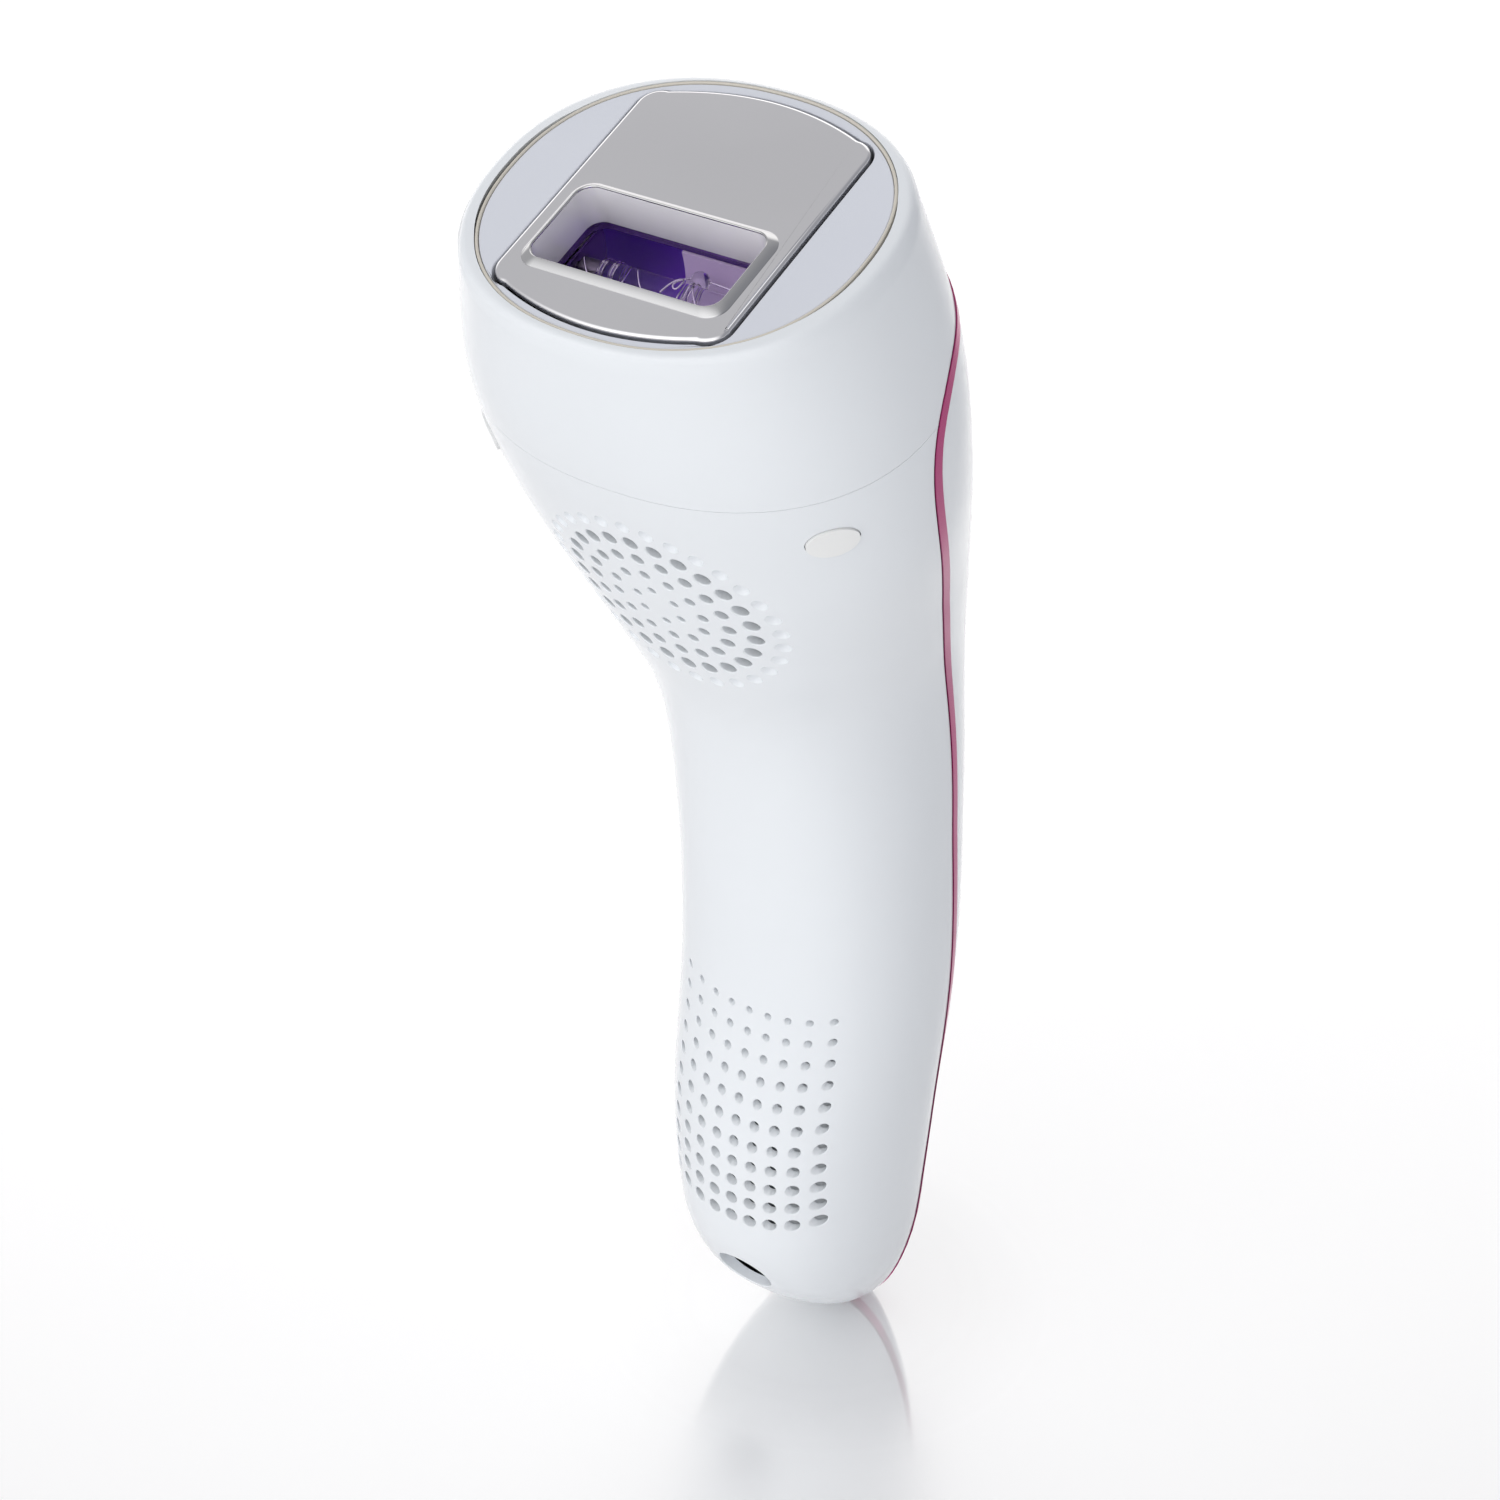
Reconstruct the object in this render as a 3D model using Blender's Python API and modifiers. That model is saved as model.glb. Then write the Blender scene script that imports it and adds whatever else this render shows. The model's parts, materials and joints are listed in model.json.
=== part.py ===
"""Handheld IPL hair remover: a curved handle and a lift-off lamp cartridge.

Every length below is in millimetres and every angle in degrees. The helpers turn them into metres.
Device frame: +Z up along the handle, -Y is the front (grille) side, +X is the right side, and
everything is mirrored about X = 0. Face frame: origin at the middle of the treatment face, its own
+Z along the face normal and its own +Y running up the sloping face towards the back.
"""

import math

import bmesh
import bpy
from mathutils import Matrix, Vector

MM = 0.001
WELD = 0.001
SIDE_VIEW = Matrix(((0, 0, 1, 0), (1, 0, 0, 0), (0, 1, 0, 0), (0, 0, 0, 1)))

# ---------------------------------------------------------------- driving dimensions

FACE_TILT = 20.5
FACE_CENTRE = Vector((0.0, -16.1, 215.7))

# Outer form, from the bottom end to the treatment face. Each section is a squared ellipse:
# height, tilt, depth of its centre, half width, half depth to the front, half depth to the back.
SECTIONS = (
    (0.9, -20.5, 21.4, 16.8, 20.2, 19.2),
    (17.6, -15.7, 15.6, 17.5, 21.2, 20.2),
    (47.6, -3.9, 14.8, 20.3, 20.7, 21.2),
    (77.6, 0.0, 18.1, 21.7, 19.0, 21.6),
    (107.6, 2.0, 17.7, 21.8, 19.9, 22.1),
    (132.6, 6.0, 14.8, 22.5, 22.3, 23.1),
    (152.6, 12.0, 7.3, 27.3, 24.5, 24.4),
    (175.3, 20.5, -3.8, 34.3, 24.5, 25.2),
    (195.2, 20.5, -10.5, 35.6, 26.7, 26.3),
    (215.7, 20.5, -16.1, 31.0, 26.2, 25.8),
)
SQUARENESS = 2.25
END_HEIGHT = 29.3
END_ROUNDNESS = 2.1
END_FROM = 1.6
TOP_NUMBER = len(SECTIONS) - 1
TOP_SPACING = 22.0
RIM_RADIUS = 0.6
WALL = 2.2
GAP = 0.3

RING_POINTS = 36
END_RINGS = 6
BODY_RINGS = 19
RIM_STEPS = 3

# Side view (depth, height) of the trim between the front housing and the rear cover. It runs up
# the handle, sweeps forward under the head, and turns back over the top of the rear cover.
TRIM_ROUTE = (
    (23.4, -12.0),
    (24.8, 25.0),
    (26.4, 60.0),
    (24.1, 100.0),
    (20.1, 129.0),
    (7.3, 155.0),
    (-5.3, 175.0),
    (-9.2, 187.7),
    (-5.6, 197.5),
    (2.9, 203.6),
    (13.9, 208.8),
    (33.5, 217.8),
)
TRIM_STEPS = 4
TRIM_WIDTH = 1.6
TRIM_THICKNESS = 1.6
SEAM_DROP = 24.6
SIDE_REACH = 60.0
BEHIND_REACH = 90.0
ABOVE_REACH = 60.0
BELOW_REACH = 300.0

# Lamp cartridge, in the face frame.
PANEL_HALF = (27.6, 24.15)
RIM_RING_OUTER = (28.4, 24.8)
RIM_RING_INNER = (27.9, 24.4)
RIM_RING_TOP = -0.05
PANEL_POCKET = (28.7, 25.05)
PANEL_TOP = -0.2
PANEL_BOTTOM = -2.7
POCKET_FLOOR = -3.0
PLATE_HALF_WIDTH = 18.4
PLATE_HALF_LENGTH = 22.7
PLATE_BOW = 2.9
PLATE_CENTRE = -0.2
PLATE_CORNER = 3.2
PLATE_TOP = 0.3
PLATE_BOTTOM = -1.4
WINDOW_CENTRE = -8.2
WINDOW_OUTER = (16.3, 8.4)
WINDOW_INNER = (15.0, 7.1)
WINDOW_CORNER = 3.0
WINDOW_TOP = 1.26
LINER_TOP = -0.3
LINER_BOTTOM = -6.6
GLASS_HALF = (15.2, 7.4)
GLASS_TOP = -5.2
GLASS_THICKNESS = 1.2
TUBE_CENTRE = -7.0
TUBE_DROP = -8.7
TUBE_RADIUS = 1.9
TUBE_BORE = 1.35
TUBE_HALF_LENGTH = 19.0
ELECTRODE = ((0.7, 10.6), (1.1, 11.2), (1.1, 14.0), (0.5, 14.4), (0.5, 19.3), (1.9, 19.3),
             (1.9, 22.0), (0.5, 22.4), (0.5, 25.0))
TUB_HALF = (30.0, 21.2)
TUB_CENTRE = (0.0, -1.6)
TUB_TOP = -10.5
TUB_BOTTOM = -24.9
TUB_WALL = 1.5
REFLECTOR_TOP = -6.9
REFLECTOR_HALF_LENGTH = 15.0
REFLECTOR_HALF_WIDTH = 7.8
REFLECTOR_DEPTH = 10.6
REFLECTOR_SHEET = 0.5
CHASSIS_HALF = (26.6, 22.9)
CHASSIS_BOTTOM = -5.0
HOLDER_SIZE = (3.0, 15.0, 15.8)
HOLDER_X = 17.1
HOLDER_DROP = -15.3
BLADE_X = 10.0
BLADE_Y = 2.0
BLADE_SIZE = (0.8, 5.0, 12.0)
BLADE_DROP = -28.6
BLADE_SLOT = (1.6, 6.0, 8.0)
SOCKET_TOP = -27.0
SOCKET_BOTTOM = -28.6
SOCKET_SLOT = (2.0, 6.4, 8.0)
SOCKET_SCREW = (24.0, 6.0)
SOCKET_SCREW_END = -36.0
CONTACT_BLOCK = (28.0, 11.0, 7.6)
CONTACT_BLOCK_DROP = -32.8
CONTACT_SLOT_DROP = -31.5
SPRING_RIB = (7.0, 10.0, 1.4)

# Round intake grille and lower outlet grid. Both are drawn along the face frame's Y.
GRILLE_DROP = -50.4
GRILLE_RINGS = 4
GRILLE_PITCH = 3.56
GRILLE_HOLE = (1.3, 2.4)
GRID_TOP = -136.7
GRID_ROWS = 11
GRID_COLUMNS = 9
GRID_PITCH = 3.4
GRID_HOLE = (1.1, 2.2)
GRID_SKIN = (-35.1, -53.8)
HOLE_SIDES = 6

# Release buttons, one on each side just below the seam.
RELEASE_AT = (28.6, -19.7, -32.5)
RELEASE_ANGLE = -48.0
RELEASE_HALF = (3.7, 2.5)
RELEASE_LENGTH = 5.0
BUTTON_PROUD = 0.35
SPRING_TURNS = 4
SPRING_RADIUS = 1.6
SPRING_WIRE = 0.25
SPRING_LENGTH = 4.6
SPRING_START = 5.0

# Fan behind the round grille.
FAN_HALF = 14.0
FAN_BORE = 12.7
FAN_FRONT = -15.5
FAN_DEPTH = 8.5
FAN_BLADES = 7
FAN_BLADE_SIZE = (0.9, 5.6, 7.4)
FAN_BLADE_RADIUS = 8.3
FAN_BLADE_TWIST = 35.0
FAN_HUB = (4.9, 5.4)
FAN_SHAFT = 1.0
FAN_BACK_WALL = 1.2
FAN_CORNER = 3.0
FAN_SCREW_INSET = 2.6
FAN_MIDDLE = FAN_FRONT + 3.4
FAN_CENTRE = GRILLE_DROP + 1.4

# Pieces on the back of the handle, by height.
FLASH_HEIGHT = 126.0
FLASH_HALF = (6.5, 9.5)
LENS_HEIGHT = 110.0
LENS_HALF = (8.0, 1.6)
LEVEL_HEIGHT = 98.0
LEVEL_RADIUS = 4.6
BUTTON_BACK = 32.2
BOARD_FRONT = 27.4
BOARD_THICKNESS = 1.6
BOARD_HALF_WIDTH = 13.5
BOARD_SPAN = (52.0, 136.0)
BOARD_SCREW_X = 9.5
BOARD_SCREW_HEIGHTS = (56.0, 132.0)
SWITCH_SIZE = (6.0, 1.6, 6.0)
CAPACITOR_DEPTH = 13.7
CAPACITOR_PROFILE = ((10.2, 62.0), (11.0, 62.8), (11.0, 114.0), (10.4, 115.0), (11.0, 116.0), (10.2, 117.0))
TRANSFORMER_SIZE = (17.0, 14.0, 12.0)
TRANSFORMER_AT = (18.5, 126.5)
TRANSFORMER_WINDOW = (3.0, 20.0, 7.0)
TRANSFORMER_WINDOW_X = 4.6
INDUCTOR_DEPTH = 19.0
INDUCTOR_RADII = (7.5, 3.2)
INDUCTOR_SPAN = (50.0, 57.5)
BACK_CUT_FROM = 31.0
BACK_REACH = 60.0

# Power inlet at the lower front.
INLET_AT = Vector((0.0, -2.3, 22.4))
INLET_ANGLE = 27.7
INLET_RADIUS = 4.9
JACK_RADIUS = 5.7
JACK_SPAN = (-15.0, -3.2)
JACK_RECESS = (4.5, -5.5, 3.0)
JACK_BORE = (2.9, -13.0, -5.0)
JACK_PIN = ((0.95, -12.7), (0.95, -6.8), (0.5, -6.2))

# ---------------------------------------------------------------- scene and materials


def clear_scene():
    for obj in list(bpy.data.objects):
        bpy.data.objects.remove(obj, do_unlink=True)


def new_collection(name):
    collection = bpy.data.collections.new(name)
    bpy.context.scene.collection.children.link(collection)
    return collection


clear_scene()
PARTS = new_collection("ipl_hair_remover")
CUTTERS = new_collection("cutters")

face_frame = bpy.data.objects.new("face_frame", None)
face_frame.location = FACE_CENTRE * MM
face_frame.rotation_euler = (math.radians(FACE_TILT), 0.0, 0.0)
PARTS.objects.link(face_frame)
FACE = Matrix.Translation(FACE_CENTRE) @ Matrix.Rotation(math.radians(FACE_TILT), 4, "X")


def principled(name, colour, roughness, metallic=0.0, transmission=0.0):
    material = bpy.data.materials.new(name)
    material.use_nodes = True
    shader = material.node_tree.nodes["Principled BSDF"]
    shader.inputs["Base Color"].default_value = (*colour, 1.0)
    shader.inputs["Roughness"].default_value = roughness
    shader.inputs["Metallic"].default_value = metallic
    shader.inputs["Transmission Weight"].default_value = transmission
    material.diffuse_color = (*colour, 1.0)
    return material


WHITE = principled("white_gloss", (0.86, 0.88, 0.90), 0.18)
PANEL_GREY = principled("panel_grey", (0.72, 0.75, 0.79), 0.25)
IVORY = principled("ivory", (0.88, 0.83, 0.74), 0.35)
MAGENTA = principled("magenta_metal", (0.55, 0.06, 0.25), 0.22, 0.8)
STEEL = principled("polished_steel", (0.75, 0.75, 0.77), 0.06, 1.0)
BRASS = principled("brass", (0.78, 0.58, 0.28), 0.25, 1.0)
FILTER = principled("violet_filter", (0.16, 0.05, 0.42), 0.05, 0.0, 0.8)
QUARTZ = principled("quartz", (0.9, 0.9, 0.95), 0.03, 0.0, 0.9)
CERAMIC = principled("ceramic", (0.9, 0.89, 0.86), 0.5)
BLACK = principled("black_plastic", (0.03, 0.03, 0.035), 0.45)
BOARD = principled("board_green", (0.03, 0.22, 0.10), 0.5)
SMOKE = principled("smoke_lens", (0.35, 0.37, 0.42), 0.15, 0.0, 0.3)

# ---------------------------------------------------------------- mesh helpers


def mesh_object(name, bm, material=None, parent=None, origin=(0.0, 0.0, 0.0), smooth=True):
    """Turns a bmesh in millimetres into an object whose origin is at the given point."""
    origin = Vector(origin)
    bmesh.ops.translate(bm, vec=-origin, verts=bm.verts)
    bmesh.ops.scale(bm, vec=(MM, MM, MM), verts=bm.verts)
    bmesh.ops.recalc_face_normals(bm, faces=bm.faces)
    mesh = bpy.data.meshes.new(name)
    bm.to_mesh(mesh)
    bm.free()
    if smooth:
        mesh.shade_smooth()
        mesh.set_sharp_from_angle(angle=math.radians(35.0))
    obj = bpy.data.objects.new(name, mesh)
    obj.location = origin * MM
    obj.parent = parent
    if material is None:
        CUTTERS.objects.link(obj)
        obj.hide_render = True
        obj.display_type = "WIRE"
    else:
        PARTS.objects.link(obj)
        mesh.materials.append(material)
    return obj


def combine(obj, other, operation="DIFFERENCE"):
    modifier = obj.modifiers.new(operation.lower(), "BOOLEAN")
    modifier.object = other
    modifier.operation = operation
    modifier.solver = "EXACT"
    return obj


def cut(obj, *cutters):
    for cutter in cutters:
        combine(obj, cutter)
    return obj


def baked(obj):
    """The evaluated shape of a scratch object as a welded bmesh. The object itself goes."""
    PARTS.objects.link(obj)
    graph = bpy.context.evaluated_depsgraph_get()
    mesh = bpy.data.meshes.new_from_object(obj.evaluated_get(graph))
    bm = bmesh.new()
    bm.from_mesh(mesh)
    bmesh.ops.remove_doubles(bm, verts=bm.verts, dist=WELD)
    bpy.data.objects.remove(obj)
    bpy.data.meshes.remove(mesh)
    return bm


def prism(outline, low, high, *holes):
    """A solid with a flat outline in X and Y, and any holes right through it, between two heights."""
    curve = bpy.data.curves.new("outline", "CURVE")
    curve.dimensions = "2D"
    curve.fill_mode = "BOTH"
    curve.extrude = (high - low) / 2.0
    for points in (outline, *holes):
        spline = curve.splines.new("POLY")
        spline.points.add(len(points) - 1)
        spline.use_cyclic_u = True
        for point, (x, y) in zip(spline.points, points):
            point.co = (x, y, 0.0, 1.0)
    bm = baked(bpy.data.objects.new("outline", curve))
    bmesh.ops.translate(bm, vec=(0.0, 0.0, (low + high) / 2.0), verts=bm.verts)
    return bm


def squared_ellipse(half_x, half_y, count=RING_POINTS, centre=(0.0, 0.0)):
    points = []
    for i in range(count):
        angle = math.tau * i / count
        c, s = math.cos(angle), math.sin(angle)
        reach = (abs(c) ** SQUARENESS + abs(s) ** SQUARENESS) ** (-1.0 / SQUARENESS)
        points.append((centre[0] + half_x * c * reach, centre[1] + half_y * s * reach))
    return points


def ellipse(half_x, half_y, count=24, centre=(0.0, 0.0)):
    angles = [math.tau * i / count for i in range(count)]
    return [(centre[0] + half_x * math.cos(a), centre[1] + half_y * math.sin(a)) for a in angles]


def corner_arc(centre, radius, start, steps):
    """Points of a quarter circle that begins at the given angle."""
    angles = [math.radians(start + 90.0 * i / steps) for i in range(steps + 1)]
    return [(centre[0] + radius * math.cos(a), centre[1] + radius * math.sin(a)) for a in angles]


def rounded_rectangle(half_x, half_y, radius, centre=(0.0, 0.0), steps=4):
    points = []
    for start, sx, sy in ((0.0, 1, 1), (90.0, -1, 1), (180.0, -1, -1), (270.0, 1, -1)):
        corner = (centre[0] + sx * (half_x - radius), centre[1] + sy * (half_y - radius))
        points += corner_arc(corner, radius, start, steps)
    return points


def plate_outline(grow=0.0, steps=8):
    """The treatment plate: straight sides, bowed ends and rounded corners."""
    half_x = PLATE_HALF_WIDTH + grow
    half_y = PLATE_HALF_LENGTH + grow
    radius = PLATE_CORNER + grow
    inner_x = half_x - radius
    shoulder = half_y - PLATE_BOW - radius
    points = []
    for start, sx, sy in ((0.0, 1, 1), (90.0, -1, 1), (180.0, -1, -1), (270.0, 1, -1)):
        corner = (sx * inner_x, PLATE_CENTRE + sy * shoulder)
        points += corner_arc(corner, radius, start, 4)
        if sx == sy:
            for i in range(1, steps):
                x = sx * inner_x * (1.0 - 2.0 * i / steps)
                bow = PLATE_BOW * (1.0 - (x / inner_x) ** 2)
                points.append((x, PLATE_CENTRE + sy * (half_y - PLATE_BOW + bow)))
    return points


def box(size, centre):
    bm = bmesh.new()
    bmesh.ops.create_cube(bm, size=1.0)
    bmesh.ops.scale(bm, vec=size, verts=bm.verts)
    bmesh.ops.translate(bm, vec=centre, verts=bm.verts)
    return bm


def laid_along(bm, axis, at):
    """Turns a shape made along Z to another axis and moves it to a place."""
    turn = {"X": Matrix.Rotation(math.radians(90), 4, "Y"),
            "Y": Matrix.Rotation(math.radians(-90), 4, "X"),
            "Z": Matrix.Identity(4)}[axis]
    return placed(bm, Matrix.Translation(at) @ turn)


def placed(bm, matrix):
    bmesh.ops.transform(bm, matrix=matrix, verts=bm.verts)
    return bm


def turned(profile, axis="Z", at=(0.0, 0.0, 0.0), count=20):
    """A solid turned from (radius, place along the axis) pairs, given from its low end up."""
    closed = [(0.0, profile[0][1]), *profile, (0.0, profile[-1][1])]
    points = [(radius, 0.0, along) for radius, along in reversed(closed)]
    mesh = bpy.data.meshes.new("profile")
    mesh.from_pydata(points, [(i, i + 1) for i in range(len(points) - 1)], [])
    spindle = bpy.data.objects.new("profile", mesh)
    screw = spindle.modifiers.new("screw", "SCREW")
    screw.steps = count
    screw.render_steps = count
    screw.use_merge_vertices = True
    screw.merge_threshold = 0.0001
    return laid_along(baked(spindle), axis, at)


def rod(radius, start, end, axis="Z", at=(0.0, 0.0, 0.0), count=20):
    bm = bmesh.new()
    bmesh.ops.create_cone(bm, cap_ends=True, segments=count, radius1=radius, radius2=radius,
                          depth=end - start)
    bmesh.ops.translate(bm, vec=(0.0, 0.0, (start + end) / 2.0), verts=bm.verts)
    return laid_along(bm, axis, at)


def merge(target, addition):
    """Moves one bmesh into another as separate bodies."""
    mesh = bpy.data.meshes.new("scratch")
    addition.to_mesh(mesh)
    addition.free()
    target.from_mesh(mesh)
    bpy.data.meshes.remove(mesh)


# ---------------------------------------------------------------- outer form


def smooth_value(before, start, end, after, t):
    """Catmull-Rom interpolation between start and end."""
    return 0.5 * (2.0 * start + (end - before) * t
                  + (2.0 * before - 5.0 * start + 4.0 * end - after) * t * t
                  + (3.0 * start - before - 3.0 * end + after) * t ** 3)


def smooth_row(rows, number):
    """Reads a table of rows at a fractional row number, along a smooth curve."""
    last = len(rows) - 1
    i = min(max(int(number), 0), last - 1)
    start, end = rows[i], rows[i + 1]
    before = rows[i - 1] if i > 0 else [2.0 * a - b for a, b in zip(start, end)]
    after = rows[i + 2] if i + 2 <= last else [2.0 * b - a for a, b in zip(start, end)]
    return [smooth_value(*values, number - i) for values in zip(before, start, end, after)]


def end_scale(rise):
    """How full the section is at a height above the bottom end, from 0 to 1."""
    share = min(max(rise / END_HEIGHT, 0.0), 1.0)
    return (1.0 - (1.0 - share) ** END_ROUNDNESS) ** (1.0 / END_ROUNDNESS)


def body_ring(number, inset=0.0, lift=0.0):
    """One section of the outer form, moved inwards by the inset and up its own normal by lift."""
    height, tilt, centre, half_width, front, back = smooth_row(SECTIONS, number)
    full = end_scale(height - SECTIONS[0][0] - inset)
    lean = math.radians(tilt)
    points = []
    for c, s in squared_ellipse(1.0, 1.0):
        x = (half_width - inset) * c * full
        depth = ((front if s < 0.0 else back) - inset) * s * full
        y = centre + depth * math.cos(lean) - lift * math.sin(lean)
        points.append((x, y, height + depth * math.sin(lean) + lift * math.cos(lean)))
    return points


def ring_numbers(first, last):
    """Section numbers for the rings: close together round the bottom end, then even."""
    numbers = []
    for i in range(END_RINGS):
        share = 1.0 - math.cos(math.pi / 2.0 * i / END_RINGS)
        numbers.append(first + (END_FROM - first) * share)
    step = (last - END_FROM) / BODY_RINGS
    numbers += [END_FROM + step * i for i in range(BODY_RINGS + 1)]
    return numbers


def number_at_rise(rise):
    """The section number whose centre is this far above the bottom end."""
    spacing = SECTIONS[1][0] - SECTIONS[0][0]
    return rise / spacing


def skin_rings(rings):
    """Lofts the body's unlike sections, as rings of points, into one closed surface."""
    bm = bmesh.new()
    loops = [[bm.verts.new(point) for point in ring] for ring in rings]
    count = len(loops[0])
    for lower, upper in zip(loops, loops[1:]):
        for i in range(count):
            j = (i + 1) % count
            bm.faces.new((lower[i], lower[j], upper[j], upper[i]))
    bm.faces.new(list(reversed(loops[0])))
    bm.faces.new(loops[-1])
    return bm


def outer_form(inset=0.0, top=0.0, rim=0.0):
    """The closed outer form, or the same form moved inwards, with an optional rounded rim."""
    first = number_at_rise(max(inset, 0.0) + 0.06)
    last = TOP_NUMBER - rim / TOP_SPACING
    rings = [body_ring(number, inset) for number in ring_numbers(first, last)]
    if rim:
        for i in range(1, RIM_STEPS + 1):
            turn = math.pi / 2.0 * i / RIM_STEPS
            drop = rim * (1.0 - math.sin(turn))
            rings.append(body_ring(TOP_NUMBER, inset + rim * (1.0 - math.cos(turn)), -drop))
    else:
        rings.append(body_ring(TOP_NUMBER, inset, top))
    return skin_rings(rings)


def side_slab(name, outline):
    """A cutter whose outline is drawn in side view (depth, height) and runs right across X."""
    return mesh_object(name, placed(prism(outline, -SIDE_REACH, SIDE_REACH), SIDE_VIEW))


def trim_line(shift):
    """The trim's route in side view, moved sideways: a positive shift goes to the back."""
    steps = (len(TRIM_ROUTE) - 1) * TRIM_STEPS
    route = [Vector(smooth_row(TRIM_ROUTE, i / TRIM_STEPS)) for i in range(steps + 1)]
    points = []
    for i, point in enumerate(route):
        ahead = route[min(i + 1, steps)] - route[max(i - 1, 0)]
        side = Vector((ahead.y, -ahead.x)).normalized()
        points.append(tuple(point + side * shift))
    return points


def behind_trim(name, shift):
    """A cutter that holds everything behind the trim's route."""
    line = trim_line(shift)
    return side_slab(name, line + [(BEHIND_REACH, line[-1][1]), (BEHIND_REACH, line[0][1])])


def face_slab(name, low, high):
    """A cutter that fills everything between two heights of the face frame."""
    bm = box((160.0, 160.0, high - low), (0.0, 0.0, (low + high) / 2.0))
    return mesh_object(name, bm, parent=face_frame)


# ---------------------------------------------------------------- shared cutters

cavity = mesh_object("cavity", outer_form(WALL, top=4.0))
core = mesh_object("core", outer_form(WALL + 0.4, top=4.0))
outer_skin = mesh_object("outer_skin", outer_form(rim=RIM_RADIUS))
proud_skin = mesh_object("proud_skin", outer_form(-BUTTON_PROUD, top=0.0))
trim_core = mesh_object("trim_core", outer_form(TRIM_THICKNESS, top=4.0))
half_trim = TRIM_WIDTH / 2.0
front_of_rear = behind_trim("behind_trim_front", -(half_trim + GAP))
back_of_trim = behind_trim("behind_trim_back", half_trim + GAP)
trim_band = side_slab("trim_band", trim_line(-half_trim) + list(reversed(trim_line(half_trim))))
above_seam = face_slab("above_seam", -SEAM_DROP - GAP / 2.0, ABOVE_REACH)
below_seam = face_slab("below_seam", -BELOW_REACH, -SEAM_DROP + GAP / 2.0)


def release_matrix(side):
    """Frame of a release button: its +Z points out of the handle on the given side."""
    x, y, z = RELEASE_AT
    angle = math.radians(RELEASE_ANGLE)
    outwards = Vector((side * math.cos(angle), math.sin(angle), 0.0))
    up = Vector((0.0, 0.0, 1.0))
    across = up.cross(outwards)
    basis = Matrix((across, up, outwards)).transposed().to_4x4()
    return FACE @ Matrix.Translation((side * x, y, z)) @ basis


def inlet_matrix():
    """Frame of the power inlet: its +Z points out of the lower front."""
    return Matrix.Translation(INLET_AT) @ Matrix.Rotation(math.radians(90.0 + INLET_ANGLE), 4, "X")


# ---------------------------------------------------------------- handle


def hole_rod(bm, x, z, radius, near, far):
    """One vent drill along the face frame's Y."""
    merge(bm, rod(radius, near, far, "Y", (x, 0.0, z), HOLE_SIDES))


def grille_drills():
    bm = bmesh.new()
    for ring in range(1, GRILLE_RINGS + 1):
        share = (ring - 1) / (GRILLE_RINGS - 1)
        radius = (GRILLE_HOLE[0] + (GRILLE_HOLE[1] - GRILLE_HOLE[0]) * share) / 2.0
        count = 6 * ring
        for i in range(count):
            angle = math.pi / 2.0 + math.tau * i / count
            x = ring * GRILLE_PITCH * math.cos(angle)
            z = GRILLE_DROP + ring * GRILLE_PITCH * math.sin(angle)
            hole_rod(bm, x, z, radius, -40.0, -14.0)
    return mesh_object("grille_drills", bm, parent=face_frame)


def grid_drills():
    bm = bmesh.new()
    for row in range(GRID_ROWS):
        share = row / (GRID_ROWS - 1)
        radius = (GRID_HOLE[0] + (GRID_HOLE[1] - GRID_HOLE[0]) * share) / 2.0
        skin = GRID_SKIN[0] + (GRID_SKIN[1] - GRID_SKIN[0]) * share
        for column in range(GRID_COLUMNS):
            x = (column - (GRID_COLUMNS - 1) / 2.0) * GRID_PITCH
            hole_rod(bm, x, GRID_TOP - row * GRID_PITCH, radius, skin - 16.0, skin + 14.0)
    return mesh_object("grid_drills", bm, parent=face_frame)


def release_openings():
    bm = bmesh.new()
    outline = ellipse(RELEASE_HALF[0] + GAP, RELEASE_HALF[1] + GAP)
    for side in (-1, 1):
        merge(bm, placed(prism(outline, -7.0, 7.0), release_matrix(side)))
    return mesh_object("release_openings", bm)


def front_housing():
    inlet = mesh_object("inlet_opening", placed(rod(INLET_RADIUS, -3.5, 12.0), inlet_matrix()))
    housing = mesh_object("front_housing", outer_form(rim=RIM_RADIUS), WHITE)
    cut(housing, front_of_rear, above_seam, cavity, grille_drills(), grid_drills())
    cut(housing, release_openings(), inlet)


def back_outline(half, centre_height, count=28):
    return ellipse(half[0], half[1], count, (0.0, centre_height))


def back_prism(outline, near, far):
    """A solid drawn on the back of the handle (X, height) between two depths."""
    bm = prism(outline, -far, -near)
    return placed(bm, Matrix.Rotation(math.radians(90.0), 4, "X"))


def lens_outline(grow=0.0):
    half = (LENS_HALF[0] + grow, LENS_HALF[1] + grow)
    return rounded_rectangle(*half, LENS_HALF[1] + grow - 0.05, (0.0, LENS_HEIGHT))


def rear_cover():
    cover = mesh_object("rear_cover", outer_form(rim=RIM_RADIUS), WHITE)
    combine(cover, back_of_trim, "INTERSECT")
    openings = bmesh.new()
    for outline in (back_outline([half + GAP for half in FLASH_HALF], FLASH_HEIGHT),
                    back_outline([LEVEL_RADIUS + GAP] * 2, LEVEL_HEIGHT), lens_outline(GAP)):
        merge(openings, back_prism(outline, BACK_CUT_FROM, BACK_REACH))
    cut(cover, cavity, mesh_object("back_openings", openings))


def trim_ring():
    trim = mesh_object("trim_ring", outer_form(rim=RIM_RADIUS), MAGENTA)
    combine(trim, trim_band, "INTERSECT")
    cut(trim, trim_core)


def back_button(name, outline, height):
    body = back_prism(outline, BUTTON_BACK, BACK_REACH)
    button = mesh_object(name, body, WHITE, origin=(0.0, BUTTON_BACK, height))
    combine(button, proud_skin, "INTERSECT")


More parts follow.
